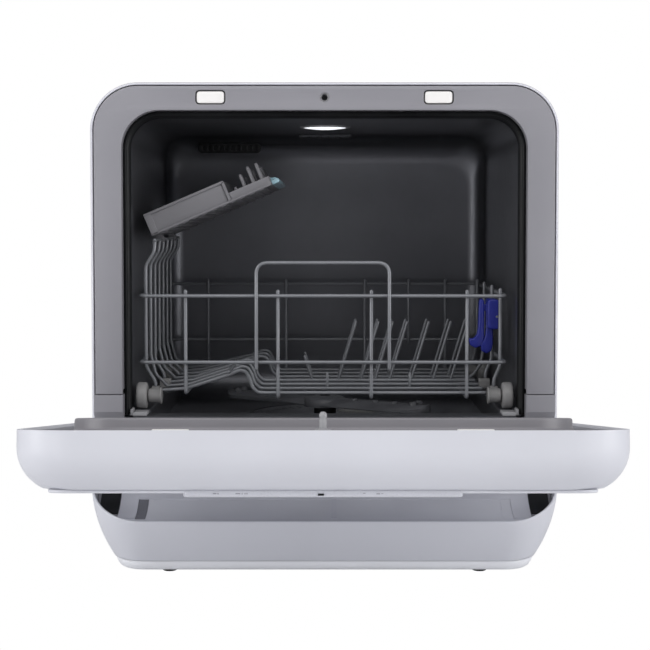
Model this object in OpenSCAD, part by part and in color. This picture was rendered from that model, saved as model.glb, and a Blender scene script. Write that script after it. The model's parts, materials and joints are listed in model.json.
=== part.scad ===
// Countertop dishwasher, front door hinged open, rolling wire basket inside.
// Millimetres. +Z up, +Y to the back. The floor is Z = 0.

/* [Cabinet] */
// Width of the cabinet
body_w = 420; // [400:5:440]
// Height of the cabinet above the floor
body_h = 435; // [425:5:450]
// Depth of the cabinet behind the frame plane
body_d = 390; // [380:5:410]
// Outer radius of the cabinet's top corners
corner_r = 43; // [36:1:48]
// Thickness of the painted casing
casing_t = 1.6; // [1:0.2:2.4]

/* [Opening] */
// Width of the grey frame's opening
mouth_w = 364; // [356:1:368]
// Height of the top edge of the opening
mouth_top = 410; // [404:1:412]
// Radius of the opening's top corners
mouth_r = 34; // [28:1:38]
// Depth of the grey frame
frame_t = 12; // [9:1:14]
// Height of the seam between frame and hinge covers
seam_z = 155; // [145:1:165]

/* [Tub] */
// Inside width of the tub
tub_w = 352; // [346:1:354]
// Height of the tub floor
tub_floor = 114; // [112:1:116]
// Height of the tub ceiling
tub_top = 404; // [400:1:406]
// Inside face of the tub's rear wall
tub_back = 322; // [315:1:330]
// Thickness of the tub walls
tub_t = 1.6; // [1.2:0.2:2]
// Height of the wheel track above the floor
track_z = 138.2; // [137.8:0.1:138.2]

/* [Door] */
// Door length from hinge axis to its top edge
door_l = 330; // [326:1:332]
// Door thickness, inner plane to outer face
door_t = 40; // [38:1:41]
// Radius of the curve from the door's face to its sides and top edge
edge_r = 32.3; // [28:0.1:34]
// Opening angle of the door, closed to stop
door_open = 83.1; // [75:0.1:86]
// Hinge axis height
axis_z = 104.5; // [103:0.5:106]
// Hinge axis distance in front of the frame plane
axis_y = 30; // [29:0.5:31]

/* [Basket] */
// Wire thickness of the basket
wire_d = 4; // [3.4:0.1:4.4]
// Height of the basket's top rail
rim_z = 242.5; // [235:0.5:250]
// Height of the basket's lower rail
rail_z = 181.4; // [178:0.2:184]
// Wheel diameter
wheel_d = 24.4; // [22:0.2:24.6]
// Tilt of the cutlery tray
tray_tilt = 23.1; // [18:0.1:26]

/* [Spray arm] */
// Length from centre to each tip
arm_r = 120; // [100:1:122]
// Turned position of the arm
arm_turn = -34; // [-60:1:60]

/* [Hidden] */
// Name of the piece to build, or all of them
half_w = body_w / 2;
mouth_h = mouth_w / 2;
tub_h = tub_w / 2;
// Depth of the inlet thread behind the rear panel
inlet_out = 16;
// Farthest point of the open door in front of the frame plane
door_reach = axis_y - (axis_y - 12.5) * cos(door_open) + (door_l - edge_r) * sin(door_open) + edge_r;
// Shift that puts the middle of the whole depth at Y = 0
y_mid = (door_reach - body_d - inlet_out) / 2;
// Radius kept free round the hinge axis for the door's bottom edge
swing_r = 58;
catch_x = 102;
catch_z = body_h - 13.5;
wheel_z = track_z + 0.1 + wheel_d / 2;
wheel_y = [30, 250];
cross_y = [40, 75, 110, 145, 180, 215, 250];
axle_x = 168;
arm_c = [0, 150, 119];
$fn = 64;

// ---------- shared shapes ----------

module rrect(w, h, r) {
  union() {
    square([w - 2 * r, h], center = true);
    square([w, h - 2 * r], center = true);
    for (sx = [-1, 1], sy = [-1, 1]) {
      translate([sx * (w / 2 - r), sy * (h / 2 - r)])
      circle(r = r);
    }
  }
}

// Rounded at the top two corners only, foot on the X axis
module arch(w, h, r) {
  union() {
    translate([-w / 2, 0])
    square([w, h - r]);
    translate([-w / 2 + r, 0])
    square([w - 2 * r, h]);
    for (s = [-1, 1]) {
      translate([s * (w / 2 - r), h - r])
      circle(r = r);
    }
  }
}

// Draws an XZ outline and gives it depth from y0 to y1
module deep(y0, y1) {
  translate([0, y1, 0])
  rotate([90, 0, 0])
  linear_extrude(height = y1 - y0)
  children();
}

// Draws a YZ outline and gives it width from x0 to x1
module wide(x0, x1) {
  translate([x0, 0, 0])
  rotate([90, 0, 90])
  linear_extrude(height = x1 - x0)
  children();
}

module tall(z0, z1) {
  translate([0, 0, z0])
  linear_extrude(height = z1 - z0)
  children();
}

module block(x0, x1, y0, y1, z0, z1) {
  translate([x0, y0, z0])
  cube([x1 - x0, y1 - y0, z1 - z0]);
}

module rod_x(x0, x1, y, z, d) {
  translate([x0, y, z])
  rotate([0, 90, 0])
  cylinder(h = x1 - x0, d = d);
}

module rod_y(y0, y1, x, z, d) {
  translate([x, y0, z])
  rotate([-90, 0, 0])
  cylinder(h = y1 - y0, d = d);
}

module rod_z(z0, z1, x, y, d) {
  translate([x, y, z0])
  cylinder(h = z1 - z0, d = d);
}

// Turns the Z axis onto the direction v
module aimed(v) {
  rotate([0, acos(v[2] / norm(v)), atan2(v[1], v[0])])
  children();
}

// A straight wire between two points
module seg(a, b, d) {
  translate(a)
  aimed(b - a)
  cylinder(h = norm(b - a), d = d);
}

// A bent wire: straight runs with a slightly swollen ball at each bend
module wire(pts, d = wire_d) {
  for (i = [0 : len(pts) - 2]) {
    seg(pts[i], pts[i + 1], d);
  }
  if (len(pts) > 2) {
    for (i = [1 : len(pts) - 2]) {
      a = pts[i] - pts[i - 1];
      b = pts[i + 1] - pts[i];
      translate(pts[i])
      aimed(a / norm(a) + b / norm(b))
      sphere(d = d * 1.06);
    }
  }
}

module mirror_x() {
  children();
  mirror([1, 0, 0])
  children();
}

// The whole object is moved back so that its depth is centred
module place() {
  translate([0, y_mid, 0])
  children();
}

// Door pieces are drawn closed and turned open about the hinge axis
module door_pose() {
  translate([0, y_mid - axis_y, axis_z])
  rotate([door_open, 0, 0])
  translate([0, axis_y, -axis_z])
  children();
}

// ---------- swing of the door's bottom edge ----------

function turned(y, z) = [
  -axis_y + y * cos(door_open) - z * sin(door_open),
  axis_z + y * sin(door_open) + z * cos(door_open)
];
low_in = -27.5;
low_out = -50.6;
p_in = turned(axis_y, low_in);
p_out = turned(axis_y - door_t, low_out);
run = (p_out - p_in) / norm(p_out - p_in);
nrm = [-run[1], run[0]];

// YZ outline of the room that the door's bottom edge needs, grown by g
module swing_2d(g = 2.3) {
  difference() {
    translate([-axis_y, axis_z])
    circle(r = swing_r - 2.3 + g, $fn = 128);
    polygon([
      p_in + g * nrm - 90 * run,
      p_in + (g + 120) * nrm - 90 * run,
      p_out + (g + 120) * nrm + 60 * run,
      p_out + g * nrm + 60 * run
    ]);
  }
}

module swing_cut(x0, x1) {
  wide(x0, x1)
  swing_2d();
}

// ---------- cabinet ----------

module outer_casing() {
  color("white")
  place()
  difference() {
    translate([0, 0, 75.6])
    deep(1.2, body_d - 3)
    arch(body_w, body_h - 75.6, corner_r);
    translate([0, 0, 70])
    deep(0, body_d)
    arch(body_w - 2 * casing_t, body_h - 70 - casing_t, corner_r - casing_t);
    // seat of the filler lid
    block(-163.4, -100.6, 200.6, 265.2, body_h - 4, body_h + 1);
  }
}

// Outline of the back: the casing's arch above, the plinth's curve below
module back_2d(g) {
  union() {
    translate([0, 76])
    arch(body_w - 2 * casing_t - 0.8 - 2 * g, body_h - 76 - casing_t - 0.4 - g, corner_r - 2 - g);
    intersection() {
      skirt_sides(3 + g);
      translate([-half_w, 18 + g])
      square([body_w, 58.5 - g]);
    }
  }
}

module rear_panel() {
  color("lightgray")
  place()
  difference() {
    union() {
      deep(body_d - 2.6, body_d - 0.6)
      back_2d(0);
      deep(body_d - 12, body_d - 2.6)
      difference() {
        back_2d(0);
        back_2d(1.8);
      }
    }
    // cooling slots
    for (i = [0 : 9], s = [-1, 1]) {
      block(s * 110 - 34, s * 110 + 34, body_d - 14, body_d + 1, 120 + i * 12, 125 + i * 12);
    }
    rod_y(body_d - 14, body_d + 1, -150, 70, 27.4);
    rod_y(body_d - 14, body_d + 1, 150, 60, 22.6);
    rod_y(body_d - 14, body_d + 1, 104, 60, 16.6);
    // drying air outlet
    block(-40, 40, body_d - 14, body_d + 1, 330, 336);
    block(-40, 40, body_d - 14, body_d + 1, 342, 348);
    block(-40, 40, body_d - 14, body_d + 1, 354, 360);
    for (x = [-180, 180], z = [45, 390]) {
      rod_y(body_d - 14, body_d + 1, x, z, 4.2);
    }
  }
}

module frame_hole_2d(g = 0) {
  translate([0, 60])
  arch(mouth_w + 2 * g, mouth_top - 60 + g, mouth_r + g);
}

module front_frame() {
  color("gray")
  place()
  difference() {
    union() {
      deep(0, 3)
      difference() {
        translate([0, seam_z])
        arch(body_w - 2 * casing_t - 0.8, body_h - seam_z - casing_t - 0.4, corner_r - 2);
        frame_hole_2d();
      }
      deep(3, frame_t)
      difference() {
        translate([0, seam_z + 4])
        arch(body_w - 2 * casing_t - 0.8, body_h - seam_z - casing_t - 4.4, corner_r - 2);
        translate([0, seam_z - 1])
        arch(body_w - 2 * casing_t - 5.2, body_h - seam_z - casing_t - 1.6, corner_r - 4);
      }
      deep(3, frame_t)
      difference() {
        translate([0, seam_z + 4])
        arch(mouth_w + 4.4, mouth_top - seam_z - 1.8, mouth_r + 2.2);
        frame_hole_2d();
      }
    }
    // catch windows and the switch hole
    for (s = [-1, 1]) {
      translate([s * catch_x, 0, catch_z])
      deep(-1, frame_t + 1)
      rrect(25.6, 11.6, 3.1);
    }
    rod_y(-1, frame_t + 1, 0, catch_z, 8);
  }
}

module hinge_covers() {
  color("gray")
  place()
  mirror_x()
  difference() {
    union() {
      block(mouth_h, body_w / 2 - casing_t - 0.4, 0, 3, 80, seam_z - 0.6);
      block(178.6, body_w / 2 - casing_t - 0.4, 3, 30, 80, seam_z - 0.6);
      block(178.6, body_w / 2 - casing_t - 2.6, -24, 30, 47, 81);
    }
    // room behind, for the hinge bracket
    block(182, 205.6, 3.1, 31, 133, 152);
    block(185, 201, -60, 31, 78, 131);
    block(181, 204.6, 22, 31, 49, 131);
    // room for the seal, the tub's flange and the closed door's rim
    block(170, 185.2, 9.6, 31, 129.4, 160);
    block(170, 181.6, 9.6, 31, 120, 160);
    block(170, 181.6, -1, 31, 129.4, 160);
    swing_cut(170, 212);
    skirt_outside(3.2);
  }
}

// ---------- plinth ----------

module skirt_plan(g) {
  union() {
    translate([-half_w + g, 0])
    square([body_w - 2 * g, body_d - 3]);
    translate([-half_w + 45, -45 + g])
    square([body_w - 90, 60]);
    for (s = [-1, 1]) {
      translate([s * (half_w - 45), 0])
      circle(r = 45 - g);
    }
  }
}

module skirt_sides(g) {
  intersection() {
    union() {
      translate([-107, -50])
      square([214, 200]);
      for (s = [-1, 1]) {
        translate([s * (half_w - 103), 75])
        circle(r = 103 - g, $fn = 128);
      }
      translate([-half_w + g, 75])
      square([body_w - 2 * g, 60]);
    }
    translate([-half_w, 0])
    square([body_w, 130]);
  }
}

module skirt_front(g) {
  union() {
    translate([-45 + g, 48])
    square([body_d + 60, 60]);
    intersection() {
      translate([-45 + 88, 48])
      circle(r = 88 - g, $fn = 128);
      translate([-60, 0])
      square([103, 49]);
    }
    translate([42, 0])
    square([body_d, 60]);
  }
}

// Takes the two front corners in along the diagonal as the plinth narrows downwards
module skirt_corner_cut(g) {
  mirror_x()
  rotate([0, 0, -45])
  deep(20, 230)
  difference() {
    translate([90, -10])
    square([160, 84.9]);
    translate([17.7, 75])
    circle(r = 144 - g, $fn = 128);
  }
}

module skirt_form(g, z0, z1) {
  difference() {
    intersection() {
      tall(z0, z1)
      skirt_plan(g);
      deep(-60, body_d + 10)
      skirt_sides(g);
      wide(-half_w - 1, half_w + 1)
      skirt_front(g);
    }
    skirt_corner_cut(g);
  }
}

// Everything outside the plinth's surface, g inside it
module skirt_outside(g) {
  difference() {
    block(-260, 260, -80, body_d + 30, 0, 76);
    skirt_form(g, -1, 80);
  }
}

// Slanted rim: low in front, level with the casing's foot at the back
module rim_room() {
  wide(-half_w - 5, half_w + 5)
  polygon([
    [-60, 40.1], [-45, 48.7], [0, 74.8], [body_d + 20, 74.8], [body_d + 20, 140], [-60, 140]
  ]);
}

module plinth_skirt() {
  color("white")
  place()
  difference() {
    skirt_form(0, 12, 80);
    skirt_form(2.2, 0, 90);
    rim_room();
  }
}

module plinth_ring() {
  color("gainsboro")
  place()
  difference() {
    skirt_form(1.6, 5.2, 11.6);
    translate([0, 0, -3])
    skirt_form(18, 9.2, 20);
    for (x = [-138, 138], y = [-20, 340]) {
      rod_z(4, 14, x, y, 10.2);
    }
  }
}

module feet() {
  color("dimgray")
  place()
  for (x = [-138, 138], y = [-20, 340]) {
    rod_z(0, 5.1, x, y, 13);
    rod_z(5.1, 12, x, y, 9.8);
  }
}

module base_tray() {
  color("slategray")
  place()
  difference() {
    intersection() {
      union() {
        block(-176, 176, -36, body_d - 14, 13, 15.5);
        for (s = [-1, 1]) {
          block(s * 175 - 1.2, s * 175 + 1.2, -30, body_d - 14, 15, 60);
        }
        block(-176, 176, body_d - 16.4, body_d - 14, 15, 40);
        // curved wall under the door's bottom edge
        difference() {
          wide(-177.8, 177.8)
          intersection() {
            swing_2d(5.2);
            translate([-38, 30])
            square([80, 98.5]);
          }
          swing_cut(-180, 180);
          block(-180, 180, -60, 4, 62, 140);
        }
        block(-172, 172, -35.4, -33.2, 15, 47.2);
        block(-1.2, 1.2, -34, 24, 15, 46);
        // posts under the tub
        for (x = [-150, 150], y = [60, 290]) {
          rod_z(15, 112, x, y, 14);
        }
      }
      skirt_form(2.6, 0, 130);
    }
    for (x = [-138, 138], y = [-20, 340]) {
      rod_z(10, 20, x, y, 10.4);
    }
    block(-60, -20, 60, 110, 10, 20);
    swing_cut(-180, 180);
  }
}

// ---------- tub ----------

module span(x0, x1, y0, y1, r) {
  translate([(x0 + x1) / 2, (y0 + y1) / 2])
  rrect(x1 - x0, y1 - y0, r);
}

module tub_form(g, y0) {
  intersection() {
    deep(y0, tub_back + g)
    span(-tub_h - g, tub_h + g, tub_floor - g, tub_top + g, 22 + g);
    wide(-tub_h - 5, tub_h + 5)
    span(-100, tub_back + g, tub_floor - g, tub_top + g, 30 + g);
    tall(tub_floor - 5, tub_top + 5)
    span(-tub_h - g, tub_h + g, -100, tub_back + g, 30 + g);
  }
}

module tub() {
  color("slategray")
  place()
  difference() {
    union() {
      difference() {
        tub_form(tub_t, 24);
        tub_form(0, 20);
      }
      // mouth flange
      deep(24, 25.6)
      difference() {
        span(-tub_h - 6, tub_h + 6, tub_floor - 4, tub_top + 6, 28);
        span(-tub_h, tub_h, tub_floor, tub_top, 22);
      }
      block(-tub_h + 2, tub_h - 2, 24, 25.6, tub_floor - 1, 134.4);
      block(-tub_h + 2, tub_h - 2, 6.2, 25.6, 132.8, 134.4);
      // wheel tracks pressed into the side walls
      for (s = [-1, 1]) {
        translate([s * 168.5 - 8.5, 24, 0])
        difference() {
          block(0, 17, 0, 270, 112.6, track_z);
          block(1.4, 15.6, 1.6, 268.6, 111, track_z - 1.4);
        }
        // stop at the end of each track
        block(s * 168 - 6, s * 168 + 6, 282, 286, track_z - 1, track_z + 6);
      }
      // raised ring round the sump
      translate([0, 170, 0])
      difference() {
        rod_z(tub_floor - 0.8, tub_floor + 2.4, 0, 0, 160);
        rod_z(tub_floor - 3, tub_floor + 4, 0, 0, 150.4);
      }
    }
    rod_z(108, tub_floor + 1, 0, 170, 132);
    rod_z(tub_top - 3, tub_top + 6, 0, 140, 52);
    block(-27, 27, 264, 290, tub_top - 3, tub_top + 6);
    // air inlet behind the breather cap
    rod_y(300, 330, -106, 391.5, 8);
    // pads for the support posts
    for (x = [-150, 150], y = [60, 290]) {
      rod_z(108, 112.3, x, y, 15);
    }
  }
}

module tub_gasket() {
  color("black")
  place()
  difference() {
    union() {
      deep(frame_t + 0.2, 23.8)
      difference() {
        translate([0, 132])
        arch(mouth_w + 5, mouth_top - 132 + 2.4, mouth_r + 2);
        translate([0, 120])
        arch(tub_w + 1.6, tub_top - 120 + 0.8, 22.8);
      }
      // soft lip facing the door
      deep(10.4, frame_t + 0.2)
      difference() {
        translate([0, 138])
        arch(mouth_w - 0.8, mouth_top - 138 - 0.4, mouth_r - 0.4);
        translate([0, 120])
        arch(mouth_w - 6.8, mouth_top - 120 - 3.4, mouth_r - 3.4);
      }
    }
    block(-200, 200, 0, 23.9, 100, 135);
  }
}

module lamp_lens() {
  color("ivory")
  place()
  union() {
    rod_z(tub_top - 1.2, tub_top + 4, 0, 140, 50);
    intersection() {
      translate([0, 140, tub_top - 1.2 + 70])
      sphere(r = 74, $fn = 96);
      rod_z(tub_top - 6, tub_top - 1, 0, 140, 46);
    }
    rod_z(tub_top + 4, tub_top + 16, 0, 140, 30);
  }
}

module vent_grille() {
  color("gray")
  place()
  difference() {
    union() {
      block(-29, 29, 262, 292, tub_top - 1.8, tub_top - 0.1);
      block(-26.6, 26.6, 264.4, 289.6, tub_top - 1.8, tub_top + 5);
    }
    for (i = [0 : 4]) {
      block(-25 + i * 10.2, -16.4 + i * 10.2, 265, 276, tub_top - 3, tub_top + 6);
      block(-25 + i * 10.2, -16.4 + i * 10.2, 278, 289, tub_top - 3, tub_top + 6);
    }
  }
}

module breather_cap() {
  color("black")
  place()
  difference() {
    translate([-106, 0, 391.5])
    deep(309, 317)
    rrect(70, 11, 5.4);
    tub_shell_room();
  }
}

// The wall material itself, so that pieces can sit on its curve
module tub_shell_room() {
  difference() {
    block(-230, 230, 200, 400, 90, 430);
    tub_form(-0.1, 100);
  }
}

module rail_caps() {
  color("darkgray")
  place()
  mirror_x() {
    block(161, 174, 6.4, 23.8, 134.5, track_z - 0.4);
    block(174, 176.6, 9, 22, 134.5, 140.4);
  }
}

module filter_plate() {
  color("dimgray")
  place()
  difference() {
    union() {
      rod_z(tub_floor + 0.1, tub_floor + 1.5, 0, 170, 150);
      rod_z(tub_floor - 6, tub_floor + 0.1, 0, 170, 131);
    }
    rod_z(tub_floor - 7, tub_floor + 0.1, 0, 170, 128);
    rod_z(tub_floor - 7, tub_floor + 3, 34, 194, 43);
    rod_z(tub_floor - 7, tub_floor + 3, 0, 150, 26.4);
    // rings of drain slots
    for (i = [0 : 35]) {
      if (abs(i - 4) > 3) {
        translate([0, 170, 0])
        rotate([0, 0, i * 10])
        block(50, 60, -1.2, 1.2, tub_floor - 2, tub_floor + 3);
      }
    }
  }
}

module filter_cup() {
  color("gray")
  place()
  translate([34, 194, 0])
  union() {
    difference() {
      rod_z(84, tub_floor + 1.6, 0, 0, 42);
      rod_z(86, tub_floor + 4, 0, 0, 38.4);
      for (i = [0 : 11]) {
        rotate([0, 0, i * 30])
        block(10, 24, -3, 3, 90, 108);
      }
    }
    rod_z(tub_floor - 4, tub_floor + 1.6, 0, 0, 38.6);
    block(-15, 15, -2, 2, tub_floor + 1.6, tub_floor + 6.6);
  }
}

module sump() {
  color("dimgray")
  place()
  difference() {
    union() {
      rod_z(70, 112.2, 0, 170, 148);
      rod_x(30, 96, 190, 84, 20);
      rod_y(90, 140, -40, 84, 26);
    }
    rod_z(73, 114, 0, 170, 143);
    rod_x(20, 98, 190, 84, 16);
    rod_y(84, 150, -40, 84, 22);
  }
}

module arm_bearing() {
  color("black")
  place()
  difference() {
    union() {
      rod_z(96, tub_floor + 1.6, 0, 150, 26);
      rod_z(tub_floor + 1.6, 125.4, 0, 150, 22);
      rod_z(125.4, 137.6, 0, 150, 10);
    }
    rod_z(90, 124, 0, 150, 16);
    rod_z(120, 131, 0, 150, 6);
  }
}

module spray_arm() {
  color("dimgray")
  place()
  translate([0, 150, 0])
  difference() {
    union() {
      rod_z(125.8, 136.4, 0, 0, 44);
      rotate([0, 0, arm_turn])
      union() {
        for (s = [0, 180]) {
          rotate([0, 0, s])
          intersection() {
            translate([0, 0, 127])
            linear_extrude(height = 8)
            polygon([[0, -21], [60, -19], [104, -15], [104, 15], [60, 14], [0, 21]]);
            translate([0, 0, 100.2])
            rotate([0, 90, 0])
            cylinder(r = 34.6, h = 130, $fn = 128);
          }
          rotate([0, 0, s])
          rod_z(127, 133.8, 105, 0, 30);
          // spray cups
          for (x = [38, 62, 84]) {
            rotate([0, 0, s])
            rod_z(131, 136, x, s == 0 ? -4 : 4, 7);
          }
          rotate([0, 0, s])
          rod_z(131, 137.6, 106, 5, 8);
          rotate([0, 0, s])
          rod_z(131, 137.6, 106, -5, 8);
        }
      }
    }
    rod_z(120, 140, 0, 0, 10.1);
    rod_z(124, 131.5, 0, 0, 36);
    rotate([0, 0, arm_turn])
    for (s = [0, 180]) {
      rotate([0, 0, s]) {
        rod_z(135, 139, 106, 5, 4.4);
        rod_z(135, 139, 106, -5, 4.4);
        rod_z(133.5, 139, 38, s == 0 ? -4 : 4, 3);
        rod_z(133.5, 139, 62, s == 0 ? -4 : 4, 3);
        rod_z(133.5, 139, 84, s == 0 ? -4 : 4, 3);
      }
    }
  }
}

// ---------- water and drive parts under and beside the tub ----------

module circulation_pump() {
  color("silver")
  place()
  difference() {
    union() {
      rod_y(62, 88, -92, 52, 66);
      rod_y(88, 150, -92, 52, 52);
      rod_y(150, 154, -92, 52, 38);
      rod_y(50, 62, -92, 52, 26);
      block(-112, -72, 92, 146, 15.6, 30);
      rod_z(74, 86, -70, 75, 22);
    }
    rod_y(64.5, 86, -92, 52, 58);
    rod_y(48, 70, -92, 52, 21);
    rod_y(80, 144, -92, 52, 6.1);
    rod_z(52, 90, -70, 75, 16);
    // motor ventilation
    for (i = [0 : 7]) {
      translate([-92, 0, 52])
      rotate([0, i * 45, 0])
      block(20, 30, 132, 144, -2, 2);
    }
  }
}

module pump_impeller() {
  color("black")
  place()
  translate([-92, 0, 52])
  union() {
    rod_y(80, 84, 0, 0, 50);
    rod_y(70, 140, 0, 0, 6);
    rod_y(70, 84, 0, 0, 16);
    for (i = [0 : 5]) {
      rotate([0, i * 60, 0])
      block(5, 24, 71, 81, -1.2, 1.2);
    }
  }
}

module drain_pump() {
  color("dimgray")
  place()
  difference() {
    union() {
      rod_y(176, 200, 132, 50, 46);
      rod_y(200, 236, 132, 50, 38);
      rod_y(158, 176, 132, 50, 20);
      rod_z(60, 80, 146, 188, 18);
      block(118, 146, 180, 230, 15.6, 32);
    }
    rod_y(179, 197, 132, 50, 40);
    rod_y(150, 182, 132, 50, 15);
    rod_z(56, 84, 146, 188, 13);
  }
}

module heater() {
  color("silver")
  place()
  difference() {
    union() {
      rod_y(84, 176, 22, 42, 38);
      rod_y(80, 84, 22, 42, 44);
      rod_y(176, 180, 22, 42, 44);
      rod_y(66, 80, 22, 42, 20);
      rod_y(180, 194, 22, 42, 20);
      block(14, 30, 100, 160, 60, 66);
    }
    rod_y(60, 200, 22, 42, 15);
    rod_y(86, 174, 22, 42, 33);
  }
}

module hoses() {
  color("black")
  place()
  union() {
    // sump to pump, pump to heater, heater to spray arm, sump to drain pump, drain pump to outlet
    wire([[-40, 88, 84], [-40, 44, 84], [-92, 44, 70], [-92, 44, 52], [-92, 49, 52]], 20);
    wire([[-70, 75, 90], [-70, 75, 98], [-30, 64, 98], [22, 58, 60], [22, 58, 42], [22, 64, 42]], 18);
    wire([[98, 190, 84], [120, 150, 84], [132, 150, 70], [132, 150, 50], [132, 156, 50]], 14);
    wire([[146, 188, 84], [146, 188, 94], [126, 250, 97], [126, 320, 97], [150, 350, 72], [150, 357, 60]], 14);
    // filling hose from the valve up to the side tank
    wire([[-150, 340, 70], [-150, 328, 70], [-188, 328, 90], [-193, 326, 112], [-193, 300, 122]], 12);
  }
}

module inlet_valve() {
  color("white")
  place()
  difference() {
    union() {
      rod_y(body_d, body_d + inlet_out, -150, 70, 26.4);
      rod_y(body_d - 17, body_d - 14.4, -150, 70, 38);
      rod_y(body_d - 15, body_d + 0.1, -150, 70, 26);
      block(-166, -134, body_d - 44, body_d - 16, 56, 84);
      rod_z(84, 102, -150, body_d - 30, 24);
    }
    rod_y(body_d - 6, body_d + inlet_out + 1, -150, 70, 19);
  }
}

module drain_outlet() {
  color("black")
  place()
  difference() {
    union() {
      rod_y(body_d, body_d + inlet_out - 2, 150, 60, 21);
      rod_y(body_d - 30, body_d + 0.1, 150, 60, 20.4);
      rod_y(body_d - 18, body_d - 14.4, 150, 60, 34);
    }
    rod_y(body_d - 26, body_d + inlet_out, 150, 60, 16);
  }
}

module cord_gland() {
  color("black")
  place()
  difference() {
    union() {
      rod_y(body_d - 18, body_d + 8, 104, 60, 16);
      rod_y(body_d - 0.5, body_d + 3, 104, 60, 22);
      rod_y(body_d - 18, body_d - 14.4, 104, 60, 22);
    }
    rod_y(body_d - 20, body_d + 9, 104, 60, 8.2);
  }
}

module control_box() {
  color("beige")
  place()
  difference() {
    union() {
      block(64, 170, 262, 352, 15.6, 44);
      block(56, 173, 270, 276, 15.6, 18);
      block(56, 173, 336, 342, 15.6, 18);
    }
    block(66, 168, 264, 350, 18, 46);
    rod_z(10, 50, 150, 290, 15);
    for (i = [0 : 5]) {
      block(74 + i * 16, 82 + i * 16, 350, 353, 36, 46);
    }
  }
}

module fan_housing() {
  color("dimgray")
  place()
  difference() {
    union() {
      rod_y(327, 366, 0, 345, 84);
      block(-42, 42, 327, 366, 345, 366);
      block(-20, 20, 327, 345, 366, 400);
      block(-24, 24, 296, 345, 406.2, 412);
      block(-20, 20, 330, 345, 380, 411);
    }
    rod_y(330, 363, 0, 345, 78);
    rod_y(362, 370, 0, 345, 40);
    rod_y(325, 345, 0, 345, 6.1);
  }
}

module fan_wheel() {
  color("black")
  place()
  translate([0, 0, 345])
  union() {
    rod_y(332, 334, 0, 0, 70);
    rod_y(327.5, 346, 0, 0, 6);
    rod_y(332, 346, 0, 0, 18);
    for (i = [0 : 15]) {
      rotate([0, i * 22.5, 0])
      block(25, 34, 333, 358, -0.9, 0.9);
    }
    difference() {
      rod_y(356, 358, 0, 0, 70);
      rod_y(354, 360, 0, 0, 50);
    }
  }
}

module side_tank() {
  color("whitesmoke")
  place()
  difference() {
    union() {
      block(-204, -181, 60, 316, 128, 385);
      block(-200, -182, 204, 260, 380, 408.5);
      block(-192, -108, 204, 260, 407.2, 416.5);
      block(-163.8, -100.2, 200, 259, 416, 429.6);
      for (x = [-166, -99.8]) {
        block(x, x + 1.8, 256, 266, 416, 433.1);
      }
      block(-166, -98, 256, 266, 412, 420);
    }
    block(-202, -183, 62, 314, 130, 383);
    block(-198, -184, 206, 258, 378, 407);
    block(-190, -110, 206, 257, 409, 414.7);
    block(-160, -104, 204, 255, 410, 430);
    rod_x(-168, -96, 262, 432, 1.7);
    rod_y(290, 320, -193, 140, 8);
  }
}

module filler_lid() {
  color("white")
  place()
  difference() {
    union() {
      block(-163, -101, 201, 262, 430.8, 434.8);
      rod_x(-163, -101, 262, 432, 2.4);
      rod_x(-165.4, -98.6, 262, 432, 1.6);
    }
    // finger notch
    rod_z(433.4, 436, -132, 208, 16);
    // back edge kept round the pin
    block(-170, -90, 262, 266, 433.3, 436);
    block(-163.1, -160.9, 255, 261, 430, 431);
  }
}

module hinge_brackets() {
  color("silver")
  place()
  mirror_x()
  union() {
    block(190.5, 193.5, -axis_y, 45, axis_z - 6.5, axis_z + 6.5);
    rod_x(190.5, 193.5, -axis_y, axis_z, 15);
    rod_x(185.8, 198.2, -axis_y, axis_z, 8);
    block(190.5, 193.5, 24, 45, 60, 129);
    block(178.4, 193.5, 36, 45, 60, 63);
    block(178.4, 193.5, 42, 45, 60, 129);
  }
}

// Carries both catches and the door switch behind the frame
module latch_carrier() {
  color("dimgray")
  place()
  difference() {
    block(-126, 126, frame_t + 0.4, 22.6, 413.6, 430);
    for (s = [-1, 1]) {
      block(s * catch_x - 6.3, s * catch_x + 6.3, 10, 20.4, catch_z - 2.8, catch_z + 2.8);
    }
    rod_y(10, 20.4, 0, catch_z, 6.6);
    for (x = [-60, 60]) {
      rod_y(10, 24, x, catch_z, 3.4);
    }
  }
}

module catch(x) {
  color("white")
  place()
  union() {
    translate([x, 0, catch_z])
    deep(0.5, 3.6)
    rrect(24.8, 10.8, 2.8);
    block(x - 6, x + 6, 3.5, 16.6, catch_z - 2.5, catch_z + 2.5);
  }
}

module catch_left() {
  catch(-catch_x);
}

module catch_right() {
  catch(catch_x);
}

module switch_plunger() {
  color("lightgray")
  place()
  union() {
    rod_y(12.4, 16.6, 0, catch_z, 6);
    rod_y(12.4, 14, 0, catch_z, 6);
  }
}

module casing_screws() {
  color("silver")
  place()
  for (x = [-180, 180], z = [45, 390]) {
    rod_y(body_d - 8, body_d + 1.4, x, z, 4);
    difference() {
      rod_y(body_d - 0.6, body_d + 1.6, x, z, 8);
      block(x - 2.8, x + 2.8, body_d + 0.6, body_d + 2, z - 0.5, z + 0.5);
      block(x - 0.5, x + 0.5, body_d + 0.6, body_d + 2, z - 2.8, z + 2.8);
    }
  }
}

// ---------- door, drawn closed ----------

module door_plan(g, y1) {
  intersection() {
    union() {
      translate([-half_w + g, -12])
      square([body_w - 2 * g, 24]);
      translate([-half_w + edge_r, -door_t - 5])
      square([body_w - 2 * edge_r, 60]);
      for (s = [-1, 1]) {
        translate([s * (half_w - edge_r), -12])
        circle(r = edge_r - g, $fn = 128);
      }
    }
    translate([-half_w, -door_t + g])
    square([body_w, door_t - g + y1]);
  }
}

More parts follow.
